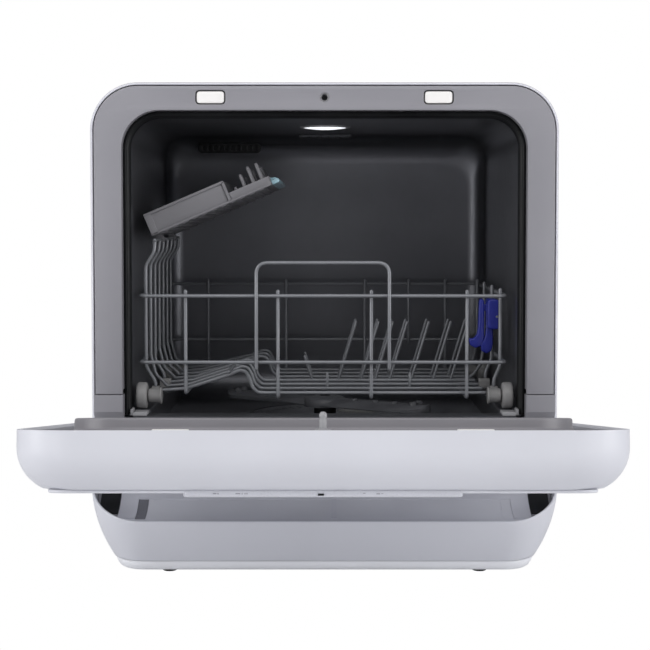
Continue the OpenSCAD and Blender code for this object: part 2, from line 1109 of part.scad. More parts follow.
// Solid outline of the door, g inside its skin
module door_form(g, y1 = 0) {
  low = axis_z + low_in + g * 1.15;
  top = axis_z + door_l;
  slope = (low_in - low_out) / door_t;
  intersection() {
    translate([0, 0, 40])
    deep(-door_t - 2, 5)
    arch(body_w - 2 * g, top - g - 40, corner_r - g);
    tall(40, top - g)
    door_plan(g, y1);
    wide(-half_w - 1, half_w + 1)
    union() {
      polygon([
        [6, low + 6 * slope], [6, top - edge_r], [-door_t - 6, top - edge_r],
        [-door_t - 6, low - (door_t + 6) * slope]
      ]);
      translate([-12, 300])
      square([20, top - 300]);
      translate([-12, top - edge_r])
      circle(r = edge_r - g, $fn = 128);
    }
  }
}

// What the bottom corners give up so that the door swings inside the plinth
module corner_trim() {
  for (s = [-1, 1]) {
    wide(s * 190.5 - 5, s * 190.5 + 5)
    difference() {
      translate([-axis_y - 60, axis_z - 70])
      square([90, 70]);
      translate([-axis_y, axis_z])
      circle(r = 48, $fn = 96);
    }
    wide(s * 204.5 - 11, s * 204.5 + 11)
    difference() {
      translate([-axis_y - 60, axis_z - 70])
      square([90, 70]);
      translate([-axis_y, axis_z])
      circle(r = 45.5, $fn = 96);
    }
    wide(s * 204 - 7.5, s * 204 + 7.5)
    difference() {
      translate([-axis_y - 60, axis_z - 70])
      square([90, 70]);
      translate([-axis_y, axis_z])
      circle(r = 40.5, $fn = 96);
    }
    wide(s * 209.7 - 2, s * 209.7 + 2)
    translate([-60, 30])
    square([62, 102]);
  }
}

module hinge_slots() {
  for (s = [-1, 1]) {
    block(s * 192 - 8.2, s * 192 + 8.2, -door_t + 2, 2, 40, axis_z + 14);
  }
}

module on_door() {
  door_pose()
  translate([0, -0.5, 0])
  children();
}

module door_shell() {
  color("white")
  on_door()
  difference() {
    door_form(0);
    difference() {
      door_form(2.4, 1);
      // ribs that carry the liner
      for (x = [-150, 150]) {
        block(x - 1, x + 1, -door_t, -20.5, 90, 420);
      }
    }
    corner_trim();
    hinge_slots();
  }
}

module door_front_plate() {
  color("whitesmoke")
  on_door()
  difference() {
    deep(-door_t - 2.4, -door_t - 0.1)
    span(-186, 186, 66, 417, 12);
    deep(-door_t - 3, -door_t)
    span(-94.6, 94.6, 378.2, 445, 4);
  }
}

module control_bar() {
  color("gainsboro")
  on_door()
  difference() {
    deep(-door_t - 5, -door_t - 0.1)
    span(-93.8, 93.8, 379, 418, 3.4);
    block(-3.4, 0.6, -door_t - 4, -door_t - 0.6, 413, 420);
  }
}

module door_liner() {
  color("gray")
  on_door()
  difference() {
    union() {
      translate([0, 0, 82])
      deep(-2, 0)
      arch(405, 347, 40);
      // raised rim, open towards the hinge
      deep(-2, 9.4)
      difference() {
        translate([0, 134.8])
        arch(362, 238, 40);
        translate([0, 134])
        arch(351, 233, 34.5);
      }
      translate([0, 0, 112])
      deep(-17, -1)
      arch(355, 258, 36.5);
    }
    translate([0, 0, 114])
    deep(-15, 12)
    arch(351, 253, 34.5);
    hinge_slots();
    corner_trim();
    for (s = [-1, 1]) {
      translate([s * catch_x, 0, catch_z])
      deep(-3, 1)
      rrect(25.2, 11.2, 3);
    }
    rod_y(-3, 1, 0, catch_z, 5.2);
    block(-66, 66, -18, -14, 184, 246);
  }
}

module hinge_arms() {
  color("silver")
  on_door()
  translate([0, 0.5, 0])
  mirror_x()
  difference() {
    union() {
      for (x = [186.6, 194.4]) {
        rod_x(x, x + 3, -axis_y, axis_z, 15);
        block(x, x + 3, -axis_y - 2, -axis_y + 7, axis_z, axis_z + 60);
      }
      block(186.6, 191.6, -axis_y - 7.2, -axis_y - 4.6, axis_z + 16, axis_z + 60);
      block(186.6, 189.6, -axis_y - 5, -axis_y, axis_z + 16, axis_z + 60);
      block(178, 197.4, -axis_y + 6, -axis_y + 9, axis_z + 20, axis_z + 60);
    }
    rod_x(180, 200, -axis_y, axis_z, 8.1);
  }
}

module latch_peg() {
  color("gray")
  on_door()
  union() {
    rod_y(-12, 9.6, 0, catch_z, 5);
    translate([0, 9.6, catch_z])
    rotate([90, 0, 0])
    sphere(d = 5.4);
    rod_y(-5, -2.1, 0, catch_z, 12);
  }
}

module strike_plates() {
  color("white")
  on_door()
  for (s = [-1, 1]) {
    translate([s * catch_x, 0, catch_z])
    union() {
      deep(-4, 0.4)
      rrect(24.6, 10.6, 2.7);
      deep(-6, -2.1)
      rrect(30, 14, 3);
    }
  }
}

module dispenser_body() {
  color("gray")
  on_door()
  difference() {
    union() {
      block(-65.4, 65.4, -35, -15.1, 184.6, 245.4);
      deep(-15, -13.8)
      span(-70, 70, 180, 250, 6);
    }
    // detergent cup and its shallow pre-wash pocket
    deep(-33, -10)
    span(-58, -8, 192, 236, 5);
    deep(-22, -10)
    span(34, 60, 192, 236, 5);
    // rinse-aid filler
    rod_y(-33, -10, 14, 222, 24);
  }
}

module dispenser_lid() {
  color("darkgray")
  on_door()
  union() {
    deep(-13.5, -11.5)
    span(-61, -5, 188, 240, 5);
    for (i = [0 : 4]) {
      block(-50, -16, -11.6, -10.7, 198 + i * 4, 199.6 + i * 4);
    }
  }
}

module touch_board() {
  color("green")
  on_door()
  union() {
    block(-88, 88, -35.6, -34, 386, 412);
    for (i = [-3 : 3]) {
      block(i * 22 - 6, i * 22 + 6, -37.2, -35.6, 393, 405);
    }
    block(-60, -20, -34, -27, 390, 408);
  }
}

// ---------- basket ----------

rim_l = -169;
rim_r = 166;
side_l = -165.6;
side_r = 162.6;
front_y = 27;
rear_y = 287;
weld = 3.2;
u_x = [-128, -43, 43, 131];
u_z = [152.4, 148.5, 148.5, 148.5];
floor_z = 152.2;

function low_wire(y) = let (k = y < 160 ? 0 : 13) [
  [-150, y, 154.2], [-129, y, 155.9], [-89 + k, y, 168.6], [-79 + k, y, 172.8], [-73 + k, y, 171.6],
  [-69.5 + k, y, 165], [-67 + k, y, 157], [-61.5 + k, y, floor_z], [149, y, floor_z]
];

module basket_floor() {
  color("silver")
  place()
  union() {
    for (y = cross_y) {
      wire(low_wire(y));
    }
    for (i = [0 : 3]) {
      seg([u_x[i], 38, u_z[i]], [u_x[i], 275, u_z[i]], wire_d);
    }
    // plate prongs in two rows
    for (x = [13.3, 35.7, 50, 64.4, 86, 108, 125.6], y = [145, 180]) {
      seg([x, y, floor_z], [x + 17.5, y, 210], 3.4);
    }
    for (y = [145, 180]) {
      seg([-12.6, y, floor_z], [-20.5, y, 176], 3.4);
    }
    for (x = [2.4, 81]) {
      seg([x, 75, floor_z], [x, 75, 166], 3.4);
    }
    // lengthwise wire on the hump
    seg([-89, 38, 171.6], [-89, 148, 171.6], 3.4);
  }
}

module basket_front() {
  color("silver")
  place()
  union() {
    for (z = [rim_z, rail_z]) {
      wire([
        [rim_l, 37.6, z], [rim_l + 2, 30, z], [rim_l + 9, front_y, z],
        [rim_r - 9, front_y, z], [rim_r - 2, 30, z], [rim_r, 37.6, z]
      ]);
    }
    for (i = [0 : 3]) {
      wire([
        [u_x[i], front_y + weld, rim_z + 4], [u_x[i], front_y + weld, u_z[i] + 6],
        [u_x[i], 32.4, u_z[i] + 1.6], [u_x[i], 36.6, u_z[i]]
      ]);
    }
    // handle
    wire([
      [-62.6, front_y - weld, 176], [-62.6, front_y - weld, 263], [-59.5, front_y - weld, 270],
      [-52, front_y - weld, 273], [49, front_y - weld, 273], [56.5, front_y - weld, 270],
      [59.3, front_y - weld, 263], [59.3, front_y - weld, 176]
    ]);
  }
}

module basket_rear() {
  color("silver")
  place()
  union() {
    for (z = [rim_z, rail_z]) {
      wire([
        [rim_l, 276.4, z], [rim_l + 2, 284, z], [rim_l + 9, rear_y, z],
        [rim_r - 9, rear_y, z], [rim_r - 2, 284, z], [rim_r, 276.4, z]
      ]);
    }
    for (i = [0 : 3]) {
      wire([
        [u_x[i], rear_y - weld, rim_z + 4], [u_x[i], rear_y - weld, u_z[i] + 6],
        [u_x[i], rear_y - 5.4, u_z[i] + 1.6], [u_x[i], 277, u_z[i]]
      ]);
    }
    seg([91, rear_y - weld, rim_z + 4], [91, rear_y - weld, rail_z - 3], wire_d);
  }
}

module basket_left() {
  color("silver")
  place()
  union() {
    for (y = cross_y) {
      low = (y == 40 || y == 110)
        ? [[-157, y, 159], [-157.6, y, 163], [side_l, y, 176]]
        : [[-152, y, 158.6], [-159, y, 163], [-163.6, y, 172], [side_l, y, 184]];
      wire(concat(low, [[side_l, y, 269.8], [-157.6, y, 283], [-157, y, 293]]));
    }
    for (z = [rim_z, rail_z]) {
      seg([rim_l, 38.4, z], [rim_l, 275.6, z], wire_d);
    }
    // rail that the cutlery tray turns on
    seg([-157, 38, 293.5], [-157, 252, 293.5], 3);
  }
}

module basket_right() {
  color("silver")
  place()
  union() {
    for (y = [40, 110, 180, 250]) {
      low = y < 150
        ? [[157, y, 159], [157, y, 164], [side_r, y, 177]]
        : [[150.6, y, 157], [156, y, 161], [160, y, 169], [side_r, y, 182]];
      wire(concat(low, [[side_r, y, rim_z + 5]]));
    }
    for (z = [rim_z, rail_z]) {
      seg([rim_r, 38.4, z], [rim_r, 275.6, z], wire_d);
    }
  }
}

module wheel_carriers() {
  color("gray")
  place()
  mirror_x()
  union() {
    for (y = wheel_y) {
      rod_x(151.6, 162.4, y, wheel_z, 13.2);
      rod_x(150.2, 151.7, y, wheel_z, 15.6);
      rod_x(155, 173.4, y, wheel_z, 5);
    }
    block(153.4, 160.6, wheel_y[0], 43.4, wheel_z - 3, 158);
    block(153.4, 160.6, wheel_y[1], 257, wheel_z - 3, 156);
    block(150.6, 160.6, 103, 113, 148, 156.6);
  }
}

module wheel(s, y) {
  color("gray")
  place()
  difference() {
    union() {
      rod_x(s * 168 - 5, s * 168 + 5, y, wheel_z, wheel_d - 1.2);
      rod_x(s * 168 - 4.2, s * 168 + 4.2, y, wheel_z, wheel_d);
    }
    rod_x(s * 168 - 6, s * 168 + 6, y, wheel_z, 5.1);
    difference() {
      rod_x(s * 168 + (s > 0 ? 2.6 : -6), s * 168 + (s > 0 ? 6 : -2.6), y, wheel_z, 18.6);
      rod_x(s * 168 - 7, s * 168 + 7, y, wheel_z, 9);
    }
  }
}

module wheel_front_left() {
  wheel(-1, wheel_y[0]);
}

module wheel_front_right() {
  wheel(1, wheel_y[0]);
}

module wheel_rear_left() {
  wheel(-1, wheel_y[1]);
}

module wheel_rear_right() {
  wheel(1, wheel_y[1]);
}

// Tray frame: X along its length, Z square to its floor
module on_tray() {
  place()
  translate([-158.4, 0, 297.5])
  rotate([0, -tray_tilt, 0])
  children();
}

module cutlery_tray() {
  color("gray")
  difference() {
    union() {
      on_tray()
      difference() {
        union() {
          block(0, 79, 38, 250, 0, 21);
          block(70, 120, 38, 250, 0, 9);
          block(118, 131, 46, 242, 0, 3);
        }
        block(2, 77, 40, 248, 2, 30);
        block(75, 118, 40, 248, 2, 30);
        // slatted bottom
        for (i = [0 : 11]) {
          block(6, 114, 46 + i * 16.6, 56 + i * 16.6, -1, 3);
        }
      }
      on_tray() {
        block(76.8, 79, 38, 250, 0, 9);
        block(34, 36, 39, 249, 0, 2.4);
        block(78, 80.4, 39, 249, 0, 2.4);
        for (x = [90, 99, 108], y = [58 : 24.4 : 230]) {
          rod_z(0.5, 18, x, y, 3.3);
        }
        for (x = [90, 99, 108]) {
          block(x - 1, x + 1, 39, 249, 0, 3.2);
        }
      }
      // eyes round the tray rail
      place()
      for (y = [88, 192]) {
        rod_y(y, y + 10, -157, 293.5, 7);
        translate([-157, y, 293.5])
        rotate([0, -tray_tilt, 0])
        translate([-3, 0, 0])
        cube([6, 10, 4.6]);
      }
    }
    place()
    rod_y(30, 260, -157, 293.5, 3.1);
  }
}

module rack_clip() {
  color("blue")
  place()
  difference() {
    union() {
      block(153, 160.4, 56, 84, 214, 238);
      block(143.8, 160.4, 64, 70, 226, 236);
      for (x = [143.8, 151.4]) {
        block(x, x + 6.4, 64, 70, 198, 238);
        translate([x + 3.2, 67, 198])
        sphere(d = 8);
      }
      rotate([0, 0, 0])
      translate([139, 62, 197])
      rotate([0, 28, 0])
      cube([6, 10, 16]);
      translate([147, 62, 189])
      rotate([0, 28, 0])
      cube([7, 10, 20]);
    }
    rod_y(50, 90, 156.6, 226, 5);
  }
}

outer_casing();
rear_panel();
front_frame();
hinge_covers();
base_tray();
plinth_skirt();
plinth_ring();
feet();
tub();
tub_gasket();
lamp_lens();
vent_grille();
breather_cap();
rail_caps();
sump();
filter_plate();
filter_cup();
circulation_pump();
pump_impeller();
drain_pump();
heater();
hoses();
inlet_valve();
drain_outlet();
cord_gland();
control_box();
fan_housing();
fan_wheel();
arm_bearing();
spray_arm();
side_tank();
filler_lid();
hinge_brackets();
catch_left();
catch_right();
switch_plunger();
latch_carrier();
casing_screws();
door_shell();
door_front_plate();
control_bar();
door_liner();
hinge_arms();
latch_peg();
strike_plates();
dispenser_body();
dispenser_lid();
touch_board();
basket_floor();
basket_front();
basket_rear();
basket_left();
basket_right();
wheel_carriers();
wheel_front_left();
wheel_front_right();
wheel_rear_left();
wheel_rear_right();
cutlery_tray();
rack_clip();
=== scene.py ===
"""Looks of the countertop dishwasher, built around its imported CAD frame.

Everything is in metres in the row frame: +X right, +Y to the back, +Z up, floor at Z = 0.
Sizes below are in millimetres and repeat the named values of the part's source.
"""

import json
from math import cos, copysign, pi, radians, sin, sqrt, tan, tau

import bmesh
import bpy
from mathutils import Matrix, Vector

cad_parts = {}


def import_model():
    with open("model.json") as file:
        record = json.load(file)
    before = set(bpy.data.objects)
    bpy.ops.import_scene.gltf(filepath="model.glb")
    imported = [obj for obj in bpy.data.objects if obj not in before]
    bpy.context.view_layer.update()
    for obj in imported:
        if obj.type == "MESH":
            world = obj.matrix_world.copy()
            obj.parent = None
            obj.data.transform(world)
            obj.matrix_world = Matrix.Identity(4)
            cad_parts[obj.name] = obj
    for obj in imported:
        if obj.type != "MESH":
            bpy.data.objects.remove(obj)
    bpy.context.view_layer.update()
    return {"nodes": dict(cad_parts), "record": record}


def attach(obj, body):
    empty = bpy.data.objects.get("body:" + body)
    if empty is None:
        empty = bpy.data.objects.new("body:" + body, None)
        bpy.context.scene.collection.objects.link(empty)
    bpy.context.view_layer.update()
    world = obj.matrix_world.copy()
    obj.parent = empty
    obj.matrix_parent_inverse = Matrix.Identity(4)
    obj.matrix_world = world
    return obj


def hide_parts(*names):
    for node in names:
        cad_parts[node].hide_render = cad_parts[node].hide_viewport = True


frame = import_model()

MM = 0.001
Y_MID = -25.1292669936052      # local Y = 0 is the frame plane; the row frame is centred in depth

# cabinet
BODY_W, BODY_H, BODY_D, CORNER_R, CASING_T = 420, 435, 390, 43, 1.6
MOUTH_W, MOUTH_TOP, MOUTH_R, FRAME_T, SEAM_Z = 364, 410, 34, 12, 155
TUB_H, TUB_FLOOR, TUB_TOP, TUB_BACK = 176, 114, 404, 322      # TUB_H is half its width
TUB_BEND, TUB_SIDE_BEND = 30, 19      # bends into the back wall, from top and bottom and from the sides
TRACK_Z, SUMP_Y, LAMP_Y = 138.2, 170, 140
CATCH_X, CATCH_Z = 102, BODY_H - 13.5
# plinth
PLINTH_FOOT, RING_FOOT, PLINTH_BACK, RING_BACK, PLINTH_N = 12, 2.2, 387, 385.4, 12
RIM_BACK, RIM_SLOPE = 74.8, 0.58
# door
DOOR_L, DOOR_T, DOOR_OPEN, AXIS_Y, AXIS_Z = 330, 40, radians(83.1), -30, 104.5
DOOR_GAP = 0.5
LOW_IN, LOW_OUT, EDGE_R = -27.5, -50.6, 32.3
# basket
WIRE_D, THIN_D, RIM_Z, RAIL_Z = 3.4, 2.8, 242.5, 181.4
RIM_L, RIM_R, SIDE_L, SIDE_R = -169, 166, -165.6, 162.6
FRONT_Y, REAR_Y, WELD = 27, 287, 3.2
FLOOR_RUNS = ((-128, 152.6), (-43, 148.6), (43, 148.6), (131, 148.6))      # x, z
CROSS_Y = (40, 75, 110, 145, 180, 215, 250)
FLOOR_Z = 151.8
WHEEL_D, WHEEL_Y, WHEEL_X = 24.4, (30, 250), 168
WHEEL_Z = TRACK_Z + 0.1 + WHEEL_D / 2
TRAY_TILT, TRAY_X, TRAY_Z = radians(23.1), -158.4, 297.5
ROD_X, ROD_Z = -157, 293.5
ARM_Y, ARM_TURN = 150, radians(-34)


def at(x, y, z):
    """A point of the cabinet or basket, from local millimetres to the row frame."""
    return Vector((x * MM, (y + Y_MID) * MM, z * MM))


def on_door(x, y, z):
    """A point of the door, from its closed place in local millimetres to its open place."""
    dy, dz = y - DOOR_GAP - AXIS_Y, z - AXIS_Z
    c, s = cos(DOOR_OPEN), sin(DOOR_OPEN)
    return at(x, AXIS_Y + dy * c - dz * s, AXIS_Z + dy * s + dz * c)


def on_tray(x, y, z):
    """A point of the cutlery tray: X along its slope, Z square to its floor."""
    c, s = cos(TRAY_TILT), sin(TRAY_TILT)
    return at(TRAY_X + x * c - z * s, y, TRAY_Z + x * s + z * c)


# Drawing planes: u and v lie in the plane and w is square to it.

def in_xz(u, v, w):
    return at(u, w, v)


def in_yz(u, v, w):
    return at(w, u, v)


def door_xz(u, v, w):
    return on_door(u, w, v)


def door_yz(u, v, w):
    return on_door(w, u, v)


def tray_xz(u, v, w):
    return on_tray(u, w, v)


def upright(x, y):
    """Places turned pieces on a vertical axis."""
    return lambda u, v, h: at(x + u, y + v, h)


def level(x, z, place=at):
    """Places turned pieces on an axis along Y."""
    return lambda u, v, h: place(x + u, h, z + v)


# ---- materials

def rgb(code):
    """Linear colour of a hex code."""
    out = []
    for i in (0, 2, 4):
        v = int(code[i:i + 2], 16) / 255
        out.append(v / 12.92 if v <= 0.04045 else ((v + 0.055) / 1.055) ** 2.4)
    return out


def node(tree, kind, links=(), operation=None, **values):
    """A node with links {input: output} and values of its inputs."""
    n = tree.nodes.new(kind)
    if operation:
        n.operation = operation
    for key, value in values.items():
        n.inputs[key.replace("_", " ")].default_value = value
    for key, output in dict(links).items():
        tree.links.new(output, n.inputs[key])
    return n


LOOKS = {}      # the materials by the names used here; the frame brings plain ones of the same names


class Nodes:
    """Short helpers round one material's node tree."""

    def __init__(self, name, code):
        self.mat = LOOKS[name] = bpy.data.materials.new(name)
        self.mat.use_nodes = True
        self.tree = self.mat.node_tree
        self.shader = self.tree.nodes["Principled BSDF"]
        self.base = rgb(code)
        self.where = self.place((1, 1, 1))

    def node(self, *kind, **values):
        return node(self.tree, *kind, **values)

    def feed(self, output, name):
        """Links output to the shader's input."""
        self.tree.links.new(output, self.shader.inputs[name])

    def place(self, stretch):
        """Object coordinates, stretched."""
        coords = self.node("ShaderNodeTexCoord")
        return self.node("ShaderNodeMapping", {"Vector": coords.outputs["Object"]}, Scale=stretch).outputs["Vector"]

    def noise(self, scale, detail=3, rough=0.5, where=None):
        return self.node("ShaderNodeTexNoise", {"Vector": where or self.where},
                         Scale=scale, Detail=detail, Roughness=rough).outputs["Fac"]

    def span(self, value, low, high, start=0.35, end=0.65):
        """value between start and end, spread over low to high."""
        return self.node("ShaderNodeMapRange", {"Value": value}, From_Min=start, From_Max=end,
                         To_Min=low, To_Max=high).outputs["Result"]

    def tint(self, value, dark, light, start=0.35, end=0.65):
        """Base colour from dark to light times the material's own, by value between start and end."""
        m = self.tree.nodes.new("ShaderNodeMix")
        m.data_type = "RGBA"
        self.tree.links.new(self.span(value, 0, 1, start, end), m.inputs[0])
        for k, factor in ((6, dark), (7, light)):
            m.inputs[k].default_value = (*(min(1, c * factor) for c in self.base), 1)
        self.feed(m.outputs[2], "Base Color")

    def bump(self, height, strength, distance):
        b = self.node("ShaderNodeBump", {"Height": height}, Strength=strength, Distance=distance)
        self.feed(b.outputs["Normal"], "Normal")

    def set(self, **values):
        for key, value in values.items():
            self.shader.inputs[key.replace("_", " ")].default_value = value


def plastic(name, code, rough=0.4, vary=0.06, grain=900, depth=0.00004, strength=0.25, coat=0, metal=0):
    """Moulded plastic: slight colour drift, fine eroded grain."""
    n = Nodes(name, code)
    n.tint(n.noise(9, 2), 1 - vary, 1 + vary)
    fine = n.noise(grain, 4, 0.6)
    n.feed(n.span(fine, rough - 0.05, rough + 0.07), "Roughness")
    n.bump(fine, strength, depth)
    n.set(Specular_IOR_Level=0.5, Coat_Weight=coat, Coat_Roughness=0.12, Metallic=metal)


def paint(name, code, rough=0.3, peel=900, vary=0.01):
    """Baked enamel on sheet steel: orange peel and a thin gloss."""
    n = Nodes(name, code)
    n.tint(n.noise(6, 2), 1 - vary, 1 + vary)
    n.feed(n.span(n.noise(12, 2), rough - 0.008, rough + 0.012, 0.2, 0.8), "Roughness")
    n.bump(n.noise(peel, 2, 0.4), 0.05, 0.00005)
    n.set(Specular_IOR_Level=0.5, Coat_Weight=0.25, Coat_Roughness=0.08)


def steel(name, code, rough, stretch, vary=0.12, strength=0.08, metallic=1):
    """Rolled steel: drawn-out brush lines, faint water marks and uneven gloss."""
    n = Nodes(name, code)
    brushed = n.noise(22, 5, 0.65, n.place(stretch))
    marks = n.noise(14, 4, 0.6)
    n.tint(marks, 1 - vary, 1 + vary, 0.3, 0.7)
    clouds = n.node("ShaderNodeMath", {0: marks}, "MULTIPLY")
    clouds.inputs[1].default_value = 0.35
    both = n.node("ShaderNodeMath", {0: brushed, 1: clouds.outputs[0]}, "ADD")
    n.feed(n.span(both.outputs[0], rough - 0.06, rough + 0.1, 0.45, 0.95), "Roughness")
    n.bump(brushed, strength, 0.0001)
    n.set(Metallic=metallic)


def rubber(name, code, rough):
    """Moulded rubber with a dusty skin."""
    n = Nodes(name, code)
    dust = n.noise(30, 5, 0.6)
    n.tint(dust, 0.8, 1.35)
    n.feed(n.span(dust, rough - 0.08, rough + 0.1), "Roughness")
    n.bump(n.noise(700), 0.3, 0.00005)
    n.set(Specular_IOR_Level=0.35)


def clear(name, code, rough=0.08, transmission=0.9, glow=0):
    """Clear moulded plastic with a fine prism pattern under it."""
    n = Nodes(name, code)
    n.tint(n.noise(60), 0.95, 1)
    waves = n.node("ShaderNodeTexVoronoi", {"Vector": n.where}, Scale=260)
    n.bump(waves.outputs["Distance"], 0.4, 0.0005)
    n.set(Transmission_Weight=transmission, Roughness=rough, IOR=1.49)
    if glow:
        n.set(Emission_Color=(0.95, 0.97, 1, 1), Emission_Strength=glow)


paint("white_paint", "dadae2")
plastic("white_plastic", "d4d5dc", 0.34, 0.02, grain=700, strength=0.1)
plastic("pale_plastic", "f2f3f7", 0.42, 0.03)
plastic("grey_plastic", "8f8e94", vary=0.04, grain=1100, strength=0.18)
plastic("light_grey", "9c9c9f", 0.45, 0.04)
plastic("liner_grey", "868489", 0.36, 0.04)
plastic("base_grey", "d2d3da", 0.42, 0.05)
plastic("base_light", "cfd0d8", 0.45, 0.04)
# painted shade: dark grey for the shaded side wall of the plinth recess
plastic("recess_shade", "75767d", 0.5)
plastic("tray_grey", "77767a")
plastic("wheel_grey", "8e8d8d", 0.44, 0.07)
plastic("arm_grey", "5c5d61", 0.38)
plastic("grille_grey", "56575c", 0.45)
plastic("dark_plastic", "17181b", 0.42, 0.2)
plastic("clip_blue", "1d288f", vary=0.1, coat=0.1)
plastic("tip_blue", "9fc3cf", 0.3, 0.05, coat=0.3)
plastic("control_white", "c9cad2", 0.3, 0.02, grain=800, strength=0.08, coat=0.2)
plastic("mark_grey", "8f9098", vary=0.05)
plastic("catch_white", "f4f2f0", 0.38, 0.01, strength=0.06)
plastic("wire_coat", "84868b", 0.36, 0.05, grain=30, depth=0.00001, strength=0.02, coat=0.4, metal=0.25)
plastic("board_green", "1e5a3a", 0.5, 0.15)
rubber("seal_rubber", "101113", 0.5)
rubber("foot_rubber", "1d1d1f", 0.66)
steel("tub_steel", "7b7c81", 0.36, (60, 60, 3), vary=0.06, strength=0.04, metallic=0.86)
steel("filter_steel", "a2a3a6", 0.3, (40, 40, 40))
steel("zinc_steel", "b9bcc0", 0.36, (50, 50, 8), vary=0.08)
steel("pump_metal", "a8a9ac", 0.4, (20, 20, 20))
clear("lamp_clear", "f2f4f5")
clear("lamp_glow", "f4f6f8", rough=0.2, transmission=0.3, glow=0.75)

# every CAD node gets the material of its slot
for row in frame["record"]["subparts"]:
    look = frame["nodes"][row["node"]].data.materials
    look.clear()
    look.append(LOOKS[row["material_slot"]])


# ---- mesh helpers

def in_scene(name, data):
    obj = bpy.data.objects.new(name, data)
    bpy.context.scene.collection.objects.link(obj)
    return obj


def mesh_object(name, bm):
    """Object made of a bmesh, which is used up."""
    mesh = bpy.data.meshes.new(name)
    bm.to_mesh(mesh)
    bm.free()
    return in_scene(name, mesh)


def evaluated(obj):
    """obj's mesh with its modifiers, or a curve's mesh."""
    bpy.context.view_layer.update()
    return bpy.data.meshes.new_from_object(obj.evaluated_get(bpy.context.evaluated_depsgraph_get()))


def shade_smooth(obj, angle=180):
    """Smooth shading, with edges sharper than angle left sharp."""
    obj.data.polygons.foreach_set("use_smooth", [True] * len(obj.data.polygons))
    if angle < 180:
        obj.data.set_sharp_from_angle(angle=radians(angle))


def tidy(bm):
    """Joins what meets and turns the faces outwards."""
    bmesh.ops.remove_doubles(bm, verts=bm.verts, dist=1e-7)
    bmesh.ops.recalc_face_normals(bm, faces=bm.faces)


def piece(name, bm, look, replaced=None, body="cabinet", smooth=40):
    """A bmesh as a named piece that rides on body, with the material look."""
    tidy(bm)
    obj = mesh_object(name, bm)
    obj.data.materials.append(LOOKS[look])
    shade_smooth(obj, smooth)
    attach(obj, body)
    if replaced:
        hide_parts(replaced)
    return obj


def settle(obj):
    """Applies obj's modifiers for good."""
    done = evaluated(obj)
    obj.modifiers.clear()
    obj.data = done


def thicken(obj, thickness, side):
    """Gives a skin the thickness of a sheet."""
    sheet = obj.modifiers.new("sheet", "SOLIDIFY")
    sheet.thickness = thickness * MM
    sheet.offset = side
    settle(obj)


def cut_away(obj, cutters, smooth=None, crossing=False):
    """Takes closed bmeshes out of obj for good; crossing is for a sheet that meets itself."""
    for cutter in cutters:
        tidy(cutter)
        tool = mesh_object("cutter", cutter)
        cut = obj.modifiers.new("cut", "BOOLEAN")
        cut.operation = "DIFFERENCE"
        cut.solver = "EXACT"
        cut.use_self = crossing
        cut.object = tool
        settle(obj)
        bpy.data.objects.remove(tool)
    if smooth:
        shade_smooth(obj, smooth)


def bridge(bm, a, b, closed=True):
    """Faces between two rings of vertices."""
    n = len(a)
    for k in range(n if closed else n - 1):
        j = (k + 1) % n
        bm.faces.new((a[k], a[j], b[j], b[k]))


def skin(bm, rings, closed=True):
    """Vertices at rings of points, with faces between each ring and the next."""
    rows = [[bm.verts.new(p) for p in ring] for ring in rings]
    for a, b in zip(rows, rows[1:]):
        bridge(bm, a, b, closed)
    return rows


def loft(rings, start=True, bm=None):
    """Solid through closed rings of points, added to bm or as a new bmesh; without start it is open there."""
    bm = bmesh.new() if bm is None else bm
    rows = skin(bm, rings)
    if start:
        bm.faces.new(rows[0][::-1])
    bm.faces.new(rows[-1])
    return bm


def wrap(rings, closed=True, bm=None):
    """Solid whose section closes on itself, through closed rings, or through open ones with two ends."""
    bm = bmesh.new() if bm is None else bm
    rows = skin(bm, rings, closed)
    bridge(bm, rows[-1], rows[0], closed)
    if not closed:
        bm.faces.new([row[0] for row in rows])
        bm.faces.new([row[-1] for row in reversed(rows)])
    return bm


def vessel(first, second):
    """Two skins, one in the other: first ends in a floor, second starts with one, and their rims meet."""
    bm = bmesh.new()
    a, b = skin(bm, first), skin(bm, second)
    bm.faces.new(a[-1])
    bm.faces.new(b[0][::-1])
    bridge(bm, b[-1], a[0])
    return bm


def placed(outline, w, place=in_xz):
    """Row-frame points of a 2-D outline, w out of its plane."""
    return [place(u, v, w) for u, v in outline]


def prism(outline, levels, place=at, bm=None):
    """A 2-D outline drawn out through levels."""
    return loft([placed(outline, w, place) for w in levels], bm=bm)


def block(x0, x1, y0, y1, z0, z1, place=at):
    """Closed box, for cutting."""
    return prism([(x0, y0), (x1, y0), (x1, y1), (x0, y1)], (z0, z1), place)


def lathe(profile, place, steps=48, closed=False, bm=None):
    """Turns profile, points (radius, height), about the axis; place(x, y, h) puts it."""
    turns = [k * tau / steps for k in range(steps)]
    return (wrap if closed else loft)([[place(r * cos(a), r * sin(a), h) for a in turns] for r, h in profile], bm=bm)


def add_tube(bm, points, d, sides=12):
    """Round wire through points (row frame), with domed ends, added to bm."""
    r = d * MM / 2
    last = len(points) - 1
    ahead = [(points[min(i + 1, last)] - points[max(i - 1, 0)]).normalized() for i in range(last + 1)]
    side = ahead[0].orthogonal().normalized()
    sections = []
    for i, p in enumerate(points):
        if i:
            side = ahead[i - 1].rotation_difference(ahead[i]) @ side
            side = (side - side.dot(ahead[i]) * ahead[i]).normalized()
        sections.append((p, side.copy(), ahead[i], r))
    domes = [(k * r, r * sqrt(1 - k * k)) for k in (0.35, 0.7, 0.92)]
    p, s, t, _ = sections[0]
    start = [(p - t * out, s, t, radius) for out, radius in reversed(domes)]
    p, s, t, _ = sections[-1]
    end = [(p + t * out, s, t, radius) for out, radius in domes]
    turns = [k * tau / sides for k in range(sides)]
    loft([[p + radius * (cos(a) * s + sin(a) * t.cross(s).normalized()) for a in turns]
          for p, s, t, radius in start + sections + end], bm=bm)


